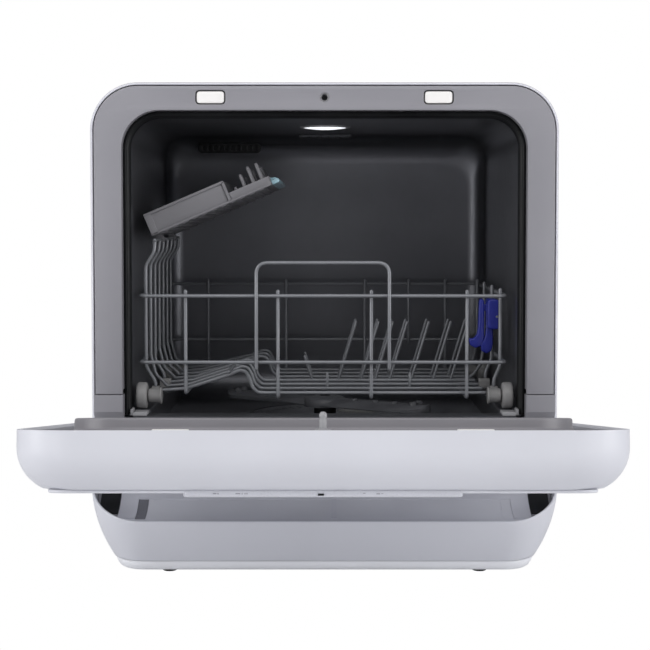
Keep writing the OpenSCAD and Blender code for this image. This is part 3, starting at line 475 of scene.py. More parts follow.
def bend(points, radius, steps=6):
    """Local points with every corner rounded to radius."""
    pts = [Vector(p) for p in points]
    out = [pts[0]]
    for a, p, b in zip(pts, pts[1:], pts[2:]):
        u, v = a - p, b - p
        angle = u.angle(v)
        if angle > radians(178):
            out.append(p)
            continue
        cut = min(radius / tan(angle / 2), 0.48 * u.length, 0.48 * v.length)
        p0, p1 = p + u.normalized() * cut, p + v.normalized() * cut
        for q in (k / steps for k in range(steps + 1)):
            out.append((1 - q) ** 2 * p0 + 2 * q * (1 - q) * p + q * q * p1)
    return out + [pts[-1]]


def arc(cx, cy, r, a0, a1, n):
    """n + 1 points of an arc, angles in degrees."""
    turns = [radians(a0 + (a1 - a0) * k / n) for k in range(n + 1)]
    return [(cx + r * cos(a), cy + r * sin(a)) for a in turns]


def circle(cx, cy, r, n=24):
    return arc(cx, cy, r, 0, 360 - 360 / n, n - 1)


def round_rect(x0, x1, y0, y1, r, n=8):
    """Closed outline, anticlockwise."""
    r = max(min(r, (x1 - x0) / 2 - 1e-4, (y1 - y0) / 2 - 1e-4), 1e-3)
    return (arc(x1 - r, y0 + r, r, -90, 0, n) + arc(x1 - r, y1 - r, r, 0, 90, n)
            + arc(x0 + r, y1 - r, r, 90, 180, n) + arc(x0 + r, y0 + r, r, 180, 270, n))


def pad(x, z, half_w, half_h, r, n=6):
    """Rounded rectangle about a centre."""
    return round_rect(x - half_w, x + half_w, z - half_h, z + half_h, r, n)


def arch(w, top, r, foot, n):
    """Open outline of an arch from its left foot over the top to its right foot."""
    return ([(-w / 2, foot)] + arc(-w / 2 + r, top - r, r, 180, 90, n)
            + arc(w / 2 - r, top - r, r, 90, 0, n) + [(w / 2, foot)])


def arches(section, w, top, r, foot, n):
    """Upright arches, one for each (inset, depth) of a section."""
    return [placed(arch(w - 2 * inset, top - inset, r - inset, foot, n), y) for inset, y in section]


def plate(loops, low, high, edge, place=in_xz):
    """A bmesh of a flat plate: loops[0] is its outline and the rest are holes, in 2-D millimetres.

    It runs from low to high along the third axis, with its edges rounded to edge, and place(u, v, w) puts it.
    """
    curve = bpy.data.curves.new("plate", "CURVE")
    curve.dimensions = "2D"
    curve.fill_mode = "BOTH"
    for loop in loops:
        spline = curve.splines.new("POLY")
        spline.points.add(len(loop) - 1)
        for p, (u, v) in zip(spline.points, loop):
            p.co = (u, v, 0, 1)
        spline.use_cyclic_u = True
    edge = min(edge, (high - low) / 2 - 0.001)
    curve.extrude = (high - low) / 2 - edge
    curve.bevel_depth = edge
    curve.bevel_resolution = 2
    curve.offset = -edge
    obj = in_scene("plate", curve)
    mesh = evaluated(obj)
    bm = bmesh.new()
    bm.from_mesh(mesh)
    middle = (low + high) / 2
    for v in bm.verts:
        v.co = place(v.co.x, v.co.y, v.co.z + middle)
    bpy.data.objects.remove(obj)
    bpy.data.curves.remove(curve)
    bpy.data.meshes.remove(mesh)
    bmesh.ops.remove_doubles(bm, verts=bm.verts, dist=1e-6)
    return bm


def join(*parts):
    """Several bmeshes as one."""
    whole = bmesh.new()
    for bm in parts:
        mesh = bpy.data.meshes.new("part")
        bm.to_mesh(mesh)
        bm.free()
        whole.from_mesh(mesh)
        bpy.data.meshes.remove(mesh)
    return whole


def span(s, near, far):
    """Two X values on the side s of the middle, the lower one first."""
    return sorted((s * near, s * far))


# ---- cabinet

def outer_casing():
    """One bent sheet over the top and both sides, hemmed in front and folded in at the back."""
    t, front, back, foot, roll = CASING_T, 1.2, BODY_D - 3, 75.6, 0.9
    section = ([(t, back - 0.3), (t, front + 4), (t * 0.9 + roll, front + 4)]
               + arc(t * 0.9, front + roll, roll, 0, -180, 10)[:-1]
               + [(0, front + 1.6), (0, back - 0.9), (0.25, back - 0.3), (0.9, back)])
    sheet = wrap(arches(section, BODY_W, BODY_H, CORNER_R, foot, 20), closed=False)
    obj = piece("casing_sheet", sheet, "white_paint", "outer_casing", smooth=35)
    lid_opening = [round_rect(-163.4, -100.6, 200.6, 265.2, 3)]
    cut_away(obj, [plate(lid_opening, BODY_H - 6, BODY_H + 3, 0.1, at)])
    even = obj.modifiers.new("even_shading", "WEIGHTED_NORMAL")
    even.keep_sharp = True


def front_frame():
    """Moulded grey surround with the two catch windows and the switch hole."""
    outer = arch(BODY_W - 2 * CASING_T - 3.4, BODY_H - CASING_T - 1.7, CORNER_R - 3.3, SEAM_Z, 18)
    loop = outer[::-1] + arch(MOUTH_W, MOUTH_TOP, MOUTH_R, SEAM_Z, 18)
    windows = [pad(s * CATCH_X, CATCH_Z, 13.4, 6.3, 3.5) for s in (-1, 1)]
    face = plate([loop] + windows + [circle(0, CATCH_Z, 4)], 0, 3, 0.7)
    # returns behind the face: outer flange and inner flange
    walls, wall, front = bmesh.new(), 2.2, 2.4
    for w, top, r in ((BODY_W - 2 * CASING_T - 5.4, BODY_H - CASING_T - 2.7, CORNER_R - 4.3),
                      (MOUTH_W + 2 * wall, MOUTH_TOP + wall, MOUTH_R + wall)):
        section = ((0, front), (0, FRAME_T), (wall, FRAME_T), (wall, front))
        wrap(arches(section, w, top, r, SEAM_Z + 4, 14), False, walls)
    piece("front_frame_moulding", join(face, walls), "grey_plastic", "front_frame")


def catch_gap_painted_shade():
    """Dark collars of painted shade that line the catch windows round the pads, and the ring round the door switch.
    """
    bm = bmesh.new()
    # painted shade: dark collars stand for the shadowed gap round each catch pad
    for s in (-1, 1):
        wrap([placed(pad(s * CATCH_X, CATCH_Z, 13.35 + grow, 6.25 + grow, 3.45), y)
              for grow, y in ((0, 0.5), (0, 11.5), (-0.5, 11.5), (-0.5, 0.5))], bm=bm)
    piece("catch_gap_painted_shade", bm, "dark_plastic")
    profile = [(2.6, 4.2), (2.7, 3), (3.3, 0.6), (3.55, 0.1), (3.75, 0.05), (3.95, 0.9), (3.95, 6), (3.2, 6),
               (2.6, 5.2)]
    piece("switch_ring", lathe(profile, level(0, CATCH_Z), 32, True), "light_grey")


def gasket():
    """Hollow rubber seal round the mouth: a channel with a soft lip that meets the door."""
    # inset from the mouth outline, depth behind the frame plane
    section = [
        (0.4, 10.6), (1.4, 9.6), (2.6, 9.3), (3.4, 9.9), (3.7, 11), (3.2, 12.6), (4.2, 13.4), (5.4, 14.6),
        (6, 16.4), (6, 21.6), (5.6, 23.6), (-2.2, 23.6), (-2.2, 12.6), (0.2, 12.4),
    ]
    seal = wrap(arches(section, MOUTH_W, MOUTH_TOP, MOUTH_R, 135.2, 22), closed=False)
    piece("mouth_seal", seal, "seal_rubber", "tub_gasket", smooth=50)


outer_casing()
front_frame()
catch_gap_painted_shade()
gasket()


# ---- basket

def add_wire(bm, points, d=WIRE_D, radius=8, steps=6):
    add_tube(bm, [at(*p) for p in bend(points, radius, steps)], d)


def basket_piece(bm, side):
    piece("basket_" + side + "_wires", bm, "wire_coat", "basket_" + side, "basket", smooth=60)


def basket_floor():
    bm = bmesh.new()
    for y in CROSS_Y:
        k = 0 if y < 160 else 13      # the rear wires' hump stands further in
        hump = [(-150, 154.2), (-129, 155.9), (k - 89, 168.6), (k - 79, 172.8), (k - 73, 171.6), (k - 69.5, 165),
                (k - 67, 157), (k - 61.5, FLOOR_Z), (149, FLOOR_Z)]
        add_wire(bm, [(x, y, z) for x, z in hump], radius=7)
    for x, z in FLOOR_RUNS:
        add_wire(bm, [(x, 38, z), (x, 275, z)])
    for y in (145, 180):
        for x in (13.3, 35.7, 50, 64.4, 86, 108, 125.6):
            add_wire(bm, [(x, y, FLOOR_Z), (x + 17.5, y, 210)], THIN_D)
        add_wire(bm, [(-12.6, y, FLOOR_Z), (-20.5, y, 176)], THIN_D)
    for x in (2.4, 81):
        add_wire(bm, [(x, 75, FLOOR_Z), (x, 75, 166)], THIN_D)
    add_wire(bm, [(-89, 38, 171.6), (-89, 148, 171.6)])
    basket_piece(bm, "floor")


def basket_end(side, rim_y, rim_end, weld_y, foot_y, own, **bends):
    """Front or rear: rim and rail, the floor wires' upright ends, and one wire of its own."""
    bm = bmesh.new()
    for z in (RIM_Z, RAIL_Z):
        add_wire(bm, [(RIM_L, rim_end, z), (RIM_L, rim_y, z), (RIM_R, rim_y, z), (RIM_R, rim_end, z)], radius=11)
    for x, z in FLOOR_RUNS:
        add_wire(bm, [(x, weld_y, RIM_Z + 4), (x, weld_y, z), (x, foot_y, z)], radius=9)
    add_wire(bm, own, **bends)
    basket_piece(bm, side)


def basket_side(side, rows, rim_x, low_rows, lows, high):
    """Left or right: its upright wires, which start low in low_rows, and the two runs of the rim."""
    bm = bmesh.new()
    for y in rows:
        section = lows[0 if y in low_rows else 1] + high
        add_wire(bm, [(x, y, z) for x, z in section], radius=12)
    for z in (RIM_Z, RAIL_Z):
        add_wire(bm, [(rim_x, 38, z), (rim_x, 276, z)])
    if side == "left":
        add_wire(bm, [(ROD_X, 38, ROD_Z), (ROD_X, 252, ROD_Z)], 3)      # the tray hangs on this one
    basket_piece(bm, side)


def wheel(name, s, y):
    """Spoked runner wheel: domed tyre edge, sunk web with six ribs, hub boss and axle end."""
    rim = WHEEL_D / 2

    def put(u, v, h):
        return at(s * (WHEEL_X + h), y + u, WHEEL_Z + v)

    bm = lathe([
        (2.56, -4.9), (rim - 2.6, -4.9), (rim - 1, -4.5), (rim - 0.3, -3.6), (rim, -2.4), (rim, 2.4),
        (rim - 0.3, 3.6), (rim - 1, 4.5), (rim - 2.2, 4.9), (rim - 2.8, 4.7), (rim - 3.1, 4.1),
        (rim - 3.2, 2.4), (5, 2.2), (4.7, 2.9), (4.5, 4.4), (4.1, 4.9), (2.56, 4.9),
    ], put, 56, True)
    for a in (k * tau / 6 for k in range(6)):
        c, q = cos(a), sin(a)
        rib = [(r * c - t * q, r * q + t * c)
               for r, t in ((4.2, -0.6), (rim - 2.9, -0.6), (rim - 2.9, 0.6), (4.2, 0.6))]
        prism(rib, (2, 4.2), put, bm)
    piece(name + "_tyre", bm, "wheel_grey", name, name)


def carriers():
    """Axle bosses and the legs that clip them to the basket's floor wires."""
    bosses, legs = bmesh.new(), []
    for s in (-1, 1):
        # wheel, where its leg ends behind it, the leg's foot and the foot's edge
        for y, leg, foot, edge in ((WHEEL_Y[0], 43.4, 158, 9.6), (WHEEL_Y[1], 257, 156, 3)):
            lathe([
                (0.6, 150), (7.2, 150), (7.7, 150.3), (7.8, 150.9), (7.7, 151.4), (6.9, 151.8),
                (6.5, 152.4), (6.4, 161.2), (6.1, 161.9), (5.2, 162.3), (2.6, 162.4), (2.5, 162.8),
                (2.48, 172.6), (2.2, 173.2), (0.6, 173.4),
            ], lambda u, v, h: at(s * h, y + u, WHEEL_Z + v), bm=bosses)
            outline = [(y - 1, WHEEL_Z - 3.4), (leg, WHEEL_Z - 1.6), (leg, foot), (y + edge, foot),
                       (y + 1, WHEEL_Z + 4.2)]
            legs.append(plate([outline], 153.4, 160.6, 0.7, lambda u, v, w: in_yz(u, v, s * w)))
        legs.append(plate([round_rect(103, 113, 148, 158, 2.5)], 150, 160.6, 0.8, lambda u, v, w: in_yz(u, v, s * w)))
    piece("wheel_carrier_bosses", join(bosses, *legs), "wheel_grey", "wheel_carriers", "basket")


basket_floor()
handle_y = FRONT_Y - WELD
basket_end("front", FRONT_Y, 38.4, FRONT_Y + WELD, 38,
           [(-62.6, handle_y, 176), (-62.6, handle_y, 273), (59.3, handle_y, 273), (59.3, handle_y, 176)],
           radius=11, steps=10)
basket_end("rear", REAR_Y, 275.6, REAR_Y - WELD, 275,
           [(91, REAR_Y - WELD, RIM_Z + 4), (91, REAR_Y - WELD, RAIL_Z - 3)])
basket_side("left", CROSS_Y, RIM_L, (40, 110),
            ([(-157, 159), (-157.6, 163), (SIDE_L, 176)], [(-150, 154.2), (-154, 158.6), (-161, 165), (SIDE_L, 184)]),
            [(SIDE_L, 269.8), (-157.6, 283), (-157, 293)])
basket_side("right", (40, 110, 180, 250), RIM_R, (40, 110),
            ([(157, 159), (157, 164), (SIDE_R, 177)], [(149, FLOOR_Z), (153, 155.4), (159, 164), (SIDE_R, 182)]),
            [(SIDE_R, RIM_Z + 5)])
for end, y in zip(("front", "rear"), WHEEL_Y):
    for side, s in (("left", -1), ("right", 1)):
        wheel(f"wheel_{end}_{side}", s, y)
carriers()


# ---- door

def hinge_slots(s):
    """Cutters on the side s of the door's lower edge: the arm's slot, then all beyond three radii of the axis."""
    cutters = [block(*span(s, 183.8, 200.2), -38, 3, 40, AXIS_Z + 14, on_door)]
    for near, far, r in ((185.5, 195.5, 48), (193.5, 215.5, 45.5), (196.5, 211.5, 40.5)):
        section = [(AXIS_Y - 60, AXIS_Z - 70), (AXIS_Y + 30, AXIS_Z - 70), (AXIS_Y + 30, AXIS_Z)]
        section += arc(AXIS_Y, AXIS_Z, r, 0, -180, 60) + [(AXIS_Y - 60, AXIS_Z)]
        cutters.append(prism(section, span(s, near, far), door_yz))
    return cutters


def door_shell():
    """Moulded outer door: square at the liner, its sides and top curving round to the face."""
    slope, top, wall = (LOW_IN - LOW_OUT) / DOOR_T, AXIS_Z + DOOR_L, 2.4
    # inset from the outline, depth
    outside = [(0, 0), (0, -6)] + arc(EDGE_R, -12, EDGE_R, 180, 240, 13) + [(16.35, -40), (17.2, -40)]
    inside = ([(18, -37.6)] + arc(EDGE_R, -12, EDGE_R - wall, 238, 180, 12) + [(wall, -2.2), (0.5, -0.2)])

    def rings(section, lift):
        return [placed(arch(BODY_W - 2 * inset, top - inset, CORNER_R - 0.62 * inset,
                            AXIS_Z + LOW_IN + slope * y + lift, 16), y, door_xz) for inset, y in section]

    shell = vessel(rings(outside, 0), rings(inside, 2.6))
    obj = piece("door_moulding", shell, "white_plastic", "door_shell", "door", smooth=28)
    cutters = []
    for s in (-1, 1):
        cutters += hinge_slots(s) + [block(*span(s, 207.7, 211.7), -60, 2, 30, 132, on_door)]
    cut_away(obj, cutters, 28)


def door_face():
    """Thin decor plate on the face with a cut-out for the control bar, its window and faint generic marks."""
    bm = plate([round_rect(-186, 186, 66, 417, 12), round_rect(-94.6, 94.6, 378.2, 416.9, 4, 5)],
               -DOOR_T - 2.4, -DOOR_T - 0.1, 0.8, door_xz)
    piece("decor_plate", bm, "white_plastic", "door_front_plate", "door")
    bar = plate([round_rect(-93.8, 93.8, 379, 418, 3.4, 6)], -DOOR_T - 5, -DOOR_T - 0.1, 1.6, door_xz)
    obj = piece("control_strip", bar, "control_white", "control_bar", "door")
    cut_away(obj, [block(-3.6, 0.8, -DOOR_T - 4, -DOOR_T - 0.5, 413.5, 420, on_door)], 30)
    window = round_rect(-3.3, 0.5, -DOOR_T - 3.8, -DOOR_T - 0.7, 0.3, 3)
    piece("status_window", plate([window], 413.8, 416.6, 0.1, on_door), "dark_plastic", body="door")
    marks = (
        (-73.6, -71.2, -42.9, -42), (-70.6, -69.8, -43.1, -41.9), (-58.6, -55.2, -42.9, -42.1),
        (-54.4, -53.8, -43.1, -41.9), (-52.8, -50.2, -42.9, -42.3), (26.6, 28.4, -42.5, -42),
        (35.6, 38.2, -43, -42.2), (38.8, 40.4, -42.7, -42.3),
    )
    piece("control_marks", join(*(plate([round_rect(*box, 0.2, 2)], 417.6, 418.04, 0.05, on_door) for box in marks)),
          "mark_grey", None, "door")


def liner():
    """Pressed inner door: flat flange, raised sealing rim and a shallow pan, with rolled edges."""
    def ring(half, foot, top, r, y):
        """Outline at depth y; near the frame it is lowered, most at the hinge."""
        near = min(max((y + 12) / 12, 0), 1)
        return [on_door(u, y - near * (1.9 + 6 * (375 - v) / 251), v)
                for u, v in round_rect(-half, half, foot, top, r, 10)]

    # (half width, foot, top, corner radius, depth) from the flange's edge to the pan's floor
    section = [
        (202.5, 82, 429, 40, -1.9), (202.5, 82, 429, 40, -0.8), (202.2, 82.3, 428.7, 39.7, -0.2),
        (201.7, 82.8, 428.2, 39.2, 0),
        (184, 124, 375.6, 41, 0), (182.4, 124.6, 374.2, 40.6, 0.3), (181.4, 125.4, 373.3, 40.2, 1.3),
        (180.9, 126, 372.8, 40, 3), (180.8, 126.2, 372.7, 39.9, 7.6), (180.4, 126.6, 372.2, 39.6, 8.9),
        (179.4, 127.4, 371.2, 39, 9.4), (177.4, 128.4, 369.2, 37.6, 9.4), (176.2, 129.4, 367.9, 36, 8.8),
        (175.6, 130, 367.2, 35, 7.4), (175.3, 130.4, 366.9, 34.5, 2), (175, 130.7, 366.6, 34.2, -6),
        (174.6, 131, 366.2, 33.8, -11.6), (173.4, 132, 365, 32.8, -13.8),
        (171.2, 134, 362.8, 31, -14.8), (168.4, 136.6, 360, 29, -15),
    ]
    # floor of the pan, with a pressed outline
    section += [(168.4 - i, 136.6 + i, 360 - i, max(29 - i * 0.5, 8), y) for i, y in (
        (26, -15), (27.6, -14.4), (30, -14.2), (31.6, -14.8), (33, -15))]
    pan = loft([ring(*step) for step in section], start=False)
    obj = piece("liner_pan", pan, "liner_grey", "door_liner", "door", smooth=45)
    thicken(obj, 1.6, -1)
    cutters = []
    for s in (-1, 1):
        cutters += [prism(pad(s * CATCH_X, CATCH_Z, 12.6, 5.6, 3), (-6, 3), door_xz)] + hinge_slots(s)
    cutters.append(prism(round_rect(-66, 66, 184, 246, 5, 5), (-22, -12), door_xz))
    cutters.append(prism(circle(0, CATCH_Z, 2.7), (-6, 3), door_xz))
    cut_away(obj, cutters, 40, crossing=True)


door_shell()
door_face()
liner()


# ---- plinth

def plinth_outline(z, g, back=PLINTH_BACK):
    """The plinth at height z, g inside its skin, from its left back round the front to its right back."""
    half = BODY_W / 2 - g if z >= 75 else 107 + sqrt((103 - g) ** 2 - (75 - z) ** 2)
    front = -45 + g if z >= 48 else 43 - sqrt((88 - g) ** 2 - (48 - z) ** 2)
    diag = 17.7 + sqrt((144 - g) ** 2 - max(75 - z, 0) ** 2)
    r = max((0.70711 * (half - front) - diag) / 0.41421, 8)
    side = (back, 250, 120, 40)
    return ([(-half, y) for y in side] + arc(-half + r, front + r, r, 180, 270, PLINTH_N)
            + [(x, front) for x in (-70, 0, 70)] + arc(half - r, front + r, r, 270, 360, PLINTH_N)
            + [(half, y) for y in reversed(side)])


def rim_height(i):
    """Height of the slanted rim over outline point i."""
    z = 60
    for _ in range(6):
        z = RIM_BACK + RIM_SLOPE * min(plinth_outline(z, 0)[i][1], 0)
    return z


def skirt():
    """One moulded hull, curving in underneath, with a slanted rounded rim."""
    low, steps = PLINTH_FOOT, 16
    columns = []
    for i in range(len(plinth_outline(low, 0))):
        top = rim_height(i)
        # height and inset, up the outside, over the rim and down the inside
        column = [(low + 0.4 + (top - 0.9 - low - 0.4) * k / steps, 0) for k in range(steps + 1)]
        column += [(top - dz, g) for g, dz in ((0.25, 0.35), (0.75, 0.05), (1.35, 0), (1.9, 0.3))]
        column += [(low + (top - 1.2 - low) * k / steps, 2.2) for k in range(steps, -1, -2)] + [(low, 0.5)]
        columns.append([at(*plinth_outline(z, g)[i], z) for z, g in column])
    piece("plinth_hull", loft(columns), "white_plastic", "plinth_skirt", smooth=38)


def plinth_foot_ring():
    """Nearly upright ring under the hull, closed below by a sole with a raised middle."""
    # height, inset, and the factor by which the outline shrinks towards the point under the sump
    section = [(11.6, 8, 1), (11.6, 1.6, 1), (11.3, 1.2, 1), (10.8, 1.1, 1), (6.6, 2.4, 1), (4.2, 3.9, 1),
               (2.8, 6, 1), (RING_FOOT, 8.6, 1), (RING_FOOT, 8.6, 0.93), (3.6, 8.6, 0.925), (4.6, 8.6, 0.9)]
    ring = loft([[at(x * k, SUMP_Y + (y - SUMP_Y) * k, z) for x, y in plinth_outline(PLINTH_FOOT, g, RING_BACK)]
                 for z, g, k in section])
    piece("plinth_foot_ring", ring, "pale_plastic", "plinth_ring", smooth=38)


def foot_pads():
    """Rubber feet: stem, flared pad and a dished sole."""
    bm = bmesh.new()
    for x in (-138, 138):
        for y in (-20, 340):
            lathe([(0.6, 1), (3.6, 0.9), (4.4, 0.15), (5.6, 0), (6.2, 0.3), (6.5, 1.2), (6.5, 2.6), (6.1, 3.6),
                   (5.2, 4.1), (4.9, 4.2), (4.9, 10.9), (4.6, 11.4), (0.6, 11.4)], upright(x, y), 32, bm=bm)
    piece("foot_pads", bm, "foot_rubber", "feet")


def recess():
    """Border, rib, flutes and hinge wells as curved slabs behind the door's bottom edge; left flute and wells are
    painted shade.
    """
    for name, look, slot, slabs in (
        # two X values, two angles in degrees from straight down, two radii
        ("recess_border", "base_light", "base_grey", (
            (-184.6, -168.6, 4, 62, 57.2, 58.3), (168.6, 184.6, 4, 62, 57.2, 58.3),
            (-169, 169, 37.5, 62, 57.2, 58.3), (6.2, 10.8, 4, 38, 57.4, 58.3))),
        # painted shade: the dark left flute stands for the shaded side wall of the recess panel
        ("recess_left_painted_shade", "recess_shade", "base_grey", ((-168.4, -159.4, 4, 37, 57.7, 58.3),)),
        ("recess_flute_right", "base_grey", "base_grey", ((159.4, 168.4, 4, 37, 57.7, 58.3),)),
        # painted shadow: dark slabs stand for the shade down in the hinge slots
        ("hinge_well_painted_shadow", "dark_plastic", "dark_plastic", (
            (-203, -185.2, 16, 46, 57.2, 58.4), (185.2, 203, 16, 46, 57.2, 58.4))),
    ):
        bm = bmesh.new()
        for x0, x1, a0, a1, r0, r1 in slabs:
            n = int((a1 - a0) / 2.5)
            section = arc(AXIS_Y, AXIS_Z, r0, a0 - 90, a1 - 90, n) + arc(AXIS_Y, AXIS_Z, r1, a1 - 90, a0 - 90, n)
            prism(section, (x0, x1), in_yz, bm)
        piece(name, bm, look, smooth=30)


skirt()
plinth_foot_ring()
foot_pads()
recess()


# ---- tub

def tub_loop(y):
    """Outline of the tub at depth y, rounding in towards the back wall."""
    side, end = (r - sqrt(r * r - max(y - TUB_BACK + r, 0) ** 2) for r in (TUB_SIDE_BEND, TUB_BEND))
    return placed(round_rect(-TUB_H + side, TUB_H - side, TUB_FLOOR + end, TUB_TOP - end, 22 + 0.3 * end), y)


def tub_skin():
    """Deep-drawn steel tub with its mouth flange."""
    rings = [placed(round_rect(-TUB_H - out, TUB_H + out, TUB_FLOOR - min(out, 3.9), TUB_TOP + out, 22 + out), y)
             for out, y in ((5.9, 25.5), (5.9, 24.2), (2.2, 24.05), (0.9, 24.4), (0.25, 25.4))]
    bend_y = TUB_BACK - TUB_BEND
    rings += [tub_loop(y) for y in (28, 60, 100, 140, 180, 220, 260, bend_y)]
    rings += [tub_loop(bend_y + TUB_BEND * sin(radians(9 * k) * 0.985)) for k in range(1, 11)]
    rings += [placed(round_rect(-TUB_H + i, TUB_H - i, TUB_FLOOR + i, TUB_TOP - i, 20), TUB_BACK) for i in (60, 110)]
    obj = piece("tub_shell", loft(rings, start=False), "tub_steel", "tub", smooth=50)
    thicken(obj, 1.4, 1)
    # openings for the sump, the lamp, the vent and the breather
    cut_away(obj, [
        prism(circle(0, SUMP_Y, 66, 60), (104, 118)), prism(circle(0, LAMP_Y, 26, 60), (398, 412)),
        block(-27, 27, 264, 290, 398, 412), prism(circle(-106, 391.5, 4), (300, 330), in_xz),
    ], 50)


def tub_tracks():
    """Wheel tracks beside the floor, their stops, the front sill and the ring round the sump."""
    parts, r, base = [], 1.8, TUB_FLOOR + 0.2
    for s in (-1, 1):
        inner, wall = s * 160, s * 175.6
        edge = arc(160 + r, TRACK_Z - r, r, 180, 90, 4)
        section = [(inner, base)] + [(s * x, z) for x, z in edge] + [(wall, TRACK_Z), (wall, base)]
        parts.append(prism(section, (24.4, 60, 120, 180, 240, 293.6), in_xz))
        parts.append(plate([round_rect(s * 168 - 6, s * 168 + 6, TRACK_Z - 0.8, TRACK_Z + 6, 1.6, 4)],
                           282, 286, 0.6))
    piece("tub_tracks", join(*parts), "tub_steel", smooth=35)
    section = [(24, 113.6), (25.4, 113.6), (25.4, 134.4), (7.2, 134.4), (6.3, 134), (6.2, 132.9),
               (23, 132.8), (23.8, 132.2), (24, 131.2)]
    piece("tub_sill", prism(section, (-TUB_H + 2.2, -60, 60, TUB_H - 2.2), in_yz), "tub_steel", smooth=35)
    profile = [(75.3, 114), (75.3, 115.6), (75.9, 116.2), (78.6, 116.4), (79.5, 115.9), (80.4, 114.9),
               (82, 114.1), (82, 113.9)]
    piece("sump_ring", lathe(profile, upright(0, SUMP_Y), 72, True), "tub_steel")


# ---- fittings inside the tub

def lamp():
    """Shallow domed lens in a grey bezel, in the ceiling of the tub."""
    dome = ([(0.8, 401.25)] + [(r, 401.2 + r * r / 230) for r in (4, 8, 12, 16, 19)]
            + [(20.6, 403), (21.2, 403.4), (21.2, 406), (0.8, 406)])
    piece("lamp_dome", lathe(dome, upright(0, LAMP_Y), 64), "lamp_glow", "lamp_lens")
    bezel = [(21.3, 405.6), (21.3, 403.4), (21.8, 402.8), (22.8, 402.6), (24.4, 402.9), (25, 403.4), (25, 405.6)]
    piece("lamp_bezel", lathe(bezel, upright(0, LAMP_Y), 64, True), "light_grey")


def vent():
    """Air grille of the dryer: a frame with two rows of slots and turned-up louvres."""
    holes, fins, z = [], bmesh.new(), TUB_TOP - 1.9
    for x in (-25 + i * 10.2 for i in range(5)):
        for y0, y1 in ((265, 276), (278, 289)):
            holes.append(round_rect(x, x + 8.6, y0, y1, 1.2, 4))
            for u in (x + 1.2 + k * 2.8 for k in range(3)):
                prism([(u, z), (u + 0.5, z), (u + 2, z + 5.3), (u + 1.5, z + 5.3)], (y0, y1), in_xz, fins)
    bm = plate([round_rect(-29, 29, 262, 292, 3, 6)] + holes, TUB_TOP - 2.4, TUB_TOP - 0.2, 0.6, at)
    piece("vent_frame", bm, "grille_grey", "vent_grille")
    piece("vent_louvres", fins, "grille_grey")


def breather():
    """Black air inlet cap high on the back wall: stadium bezel, slotted face."""
    slots = [round_rect(-136 + i * 6.2, -132.4 + i * 6.2, 388.6, 394.4, 1.2, 3) for i in range(10)]
    face = plate([round_rect(-141, -71, 386, 397, 5.4)] + slots, 310, 312.6, 0.8)
    back = plate([round_rect(-140.4, -71.6, 386.6, 396.4, 4.8)], 312.5, 316.6, 0.3)
    piece("breather_face", join(face, back), "dark_plastic", "breather_cap")


def rail_ends():
    """Grey plastic ends of the wheel tracks at the mouth, each with a nib."""
    parts = []
    for s in (-1, 1):
        parts += [plate([round_rect(*span(s, 161, 174), 134.5, 137.8, 1.2, 4)], 6.4, 23.8, 0.5),
                  plate([round_rect(*span(s, 174, 176.6), 134.5, 140.4, 1, 4)], 9, 22, 0.5)]
    piece("rail_ends", join(*parts), "light_grey", "rail_caps")


def arm_at(x, y, z, turn=0):
    """A point of the spray arm: X along it, from its hub."""
    c, s = cos(ARM_TURN + turn), sin(ARM_TURN + turn)
    return at(x * c - y * s, ARM_Y + x * s + y * c, z)


def spray():
    """Two crowned blades, a domed hub and raised jets."""
    arm, jets = bmesh.new(), bmesh.new()
    for turn in (0, pi):
        rings = []
        for x in (0, 12, 24, 36, 48, 60, 72, 84, 94, 102, 108, 112, 115.2, 117.4, 118.8, 119.5):
            # half widths of the blade on its two sides, with a round tip
            if x < 104:
                near, far = min(x / 60, 1), max((x - 60) / 44, 0)
                a, b = 21 - 2 * near - 4 * far, 21 - 7 * near + far
            else:
                a = b = sqrt(max(225 - (x - 105) ** 2, 4))
            section = [(-a + 1, 127), (-a + 0.2, 127.5)]
            for j in range(11):
                y = -a + (a + b) * j / 10
                z = 100.2 + sqrt(34.6 ** 2 - y * y) - (1 if j in (0, 10) else 0)
                section.append((y, max(z, 128.2)))
            section += [(b - 0.2, 127.5), (b - 1, 127)]
            rings.append([arm_at(x, y, z, turn) for y, z in section])
        loft(rings, bm=arm)
        # place, radius and height of a boss, and height of the jet in it
        for x, y, r, top, jet in ((38, -4, 3.5, 136, 135.2), (62, -4, 3.5, 136, 135.2), (84, -4, 3.5, 136, 135.2),
                                  (106, 5, 4, 137.4, 136.4), (106, -5, 4, 137.4, 136.4)):
            def put(u, v, h):
                return arm_at(x + u, y + v, h, turn)

            lathe([(r - 1.4, top - 1.6), (r - 1.3, top - 0.3), (r - 0.8, top), (r - 0.3, top - 0.2),
                   (r, top - 0.9), (r + 0.3, 131), (r - 1.5, 131)], put, 24, True, arm)
            r -= 1.5
            lathe([(0.5, jet - 1.2), (r * 0.6, jet - 1), (r, jet - 0.8), (r, 132), (0.5, 132)], put, 16, bm=jets)
    lathe([(5.2, 136), (5.8, 136.4), (11.5, 136.4), (13, 135.7), (17, 135.2), (20.4, 133.4), (21.8, 130.6),
           (22, 127.4), (21.5, 125.9), (18.3, 125.8), (18.1, 131.3), (5.2, 131.5)], arm_at, 48, True, arm)
    piece("spray_blades", arm, "arm_grey", "spray_arm", "spray_arm", smooth=42)
    piece("spray_jets", jets, "dark_plastic", body="spray_arm")


tub_skin()
tub_tracks()
lamp()
vent()
breather()
rail_ends()
spray()


# ---- cutlery tray

def tray_walls(bm, x0, x1, y0, y1, top, r, t=2):
    """Rounded wall all round a rectangle of the tray."""
    wrap([placed(round_rect(x0 + grow, x1 - grow, y0 + grow, y1 - grow, r - grow * 0.6, 6), z, on_tray)
          for grow, z in ((0.5, 0), (0, 0.8), (0, top - 0.7), (0.25, top - 0.15), (t / 2, top),
                          (t - 0.25, top - 0.15), (t, top - 0.7), (t, 1), (t, 0))], bm=bm)


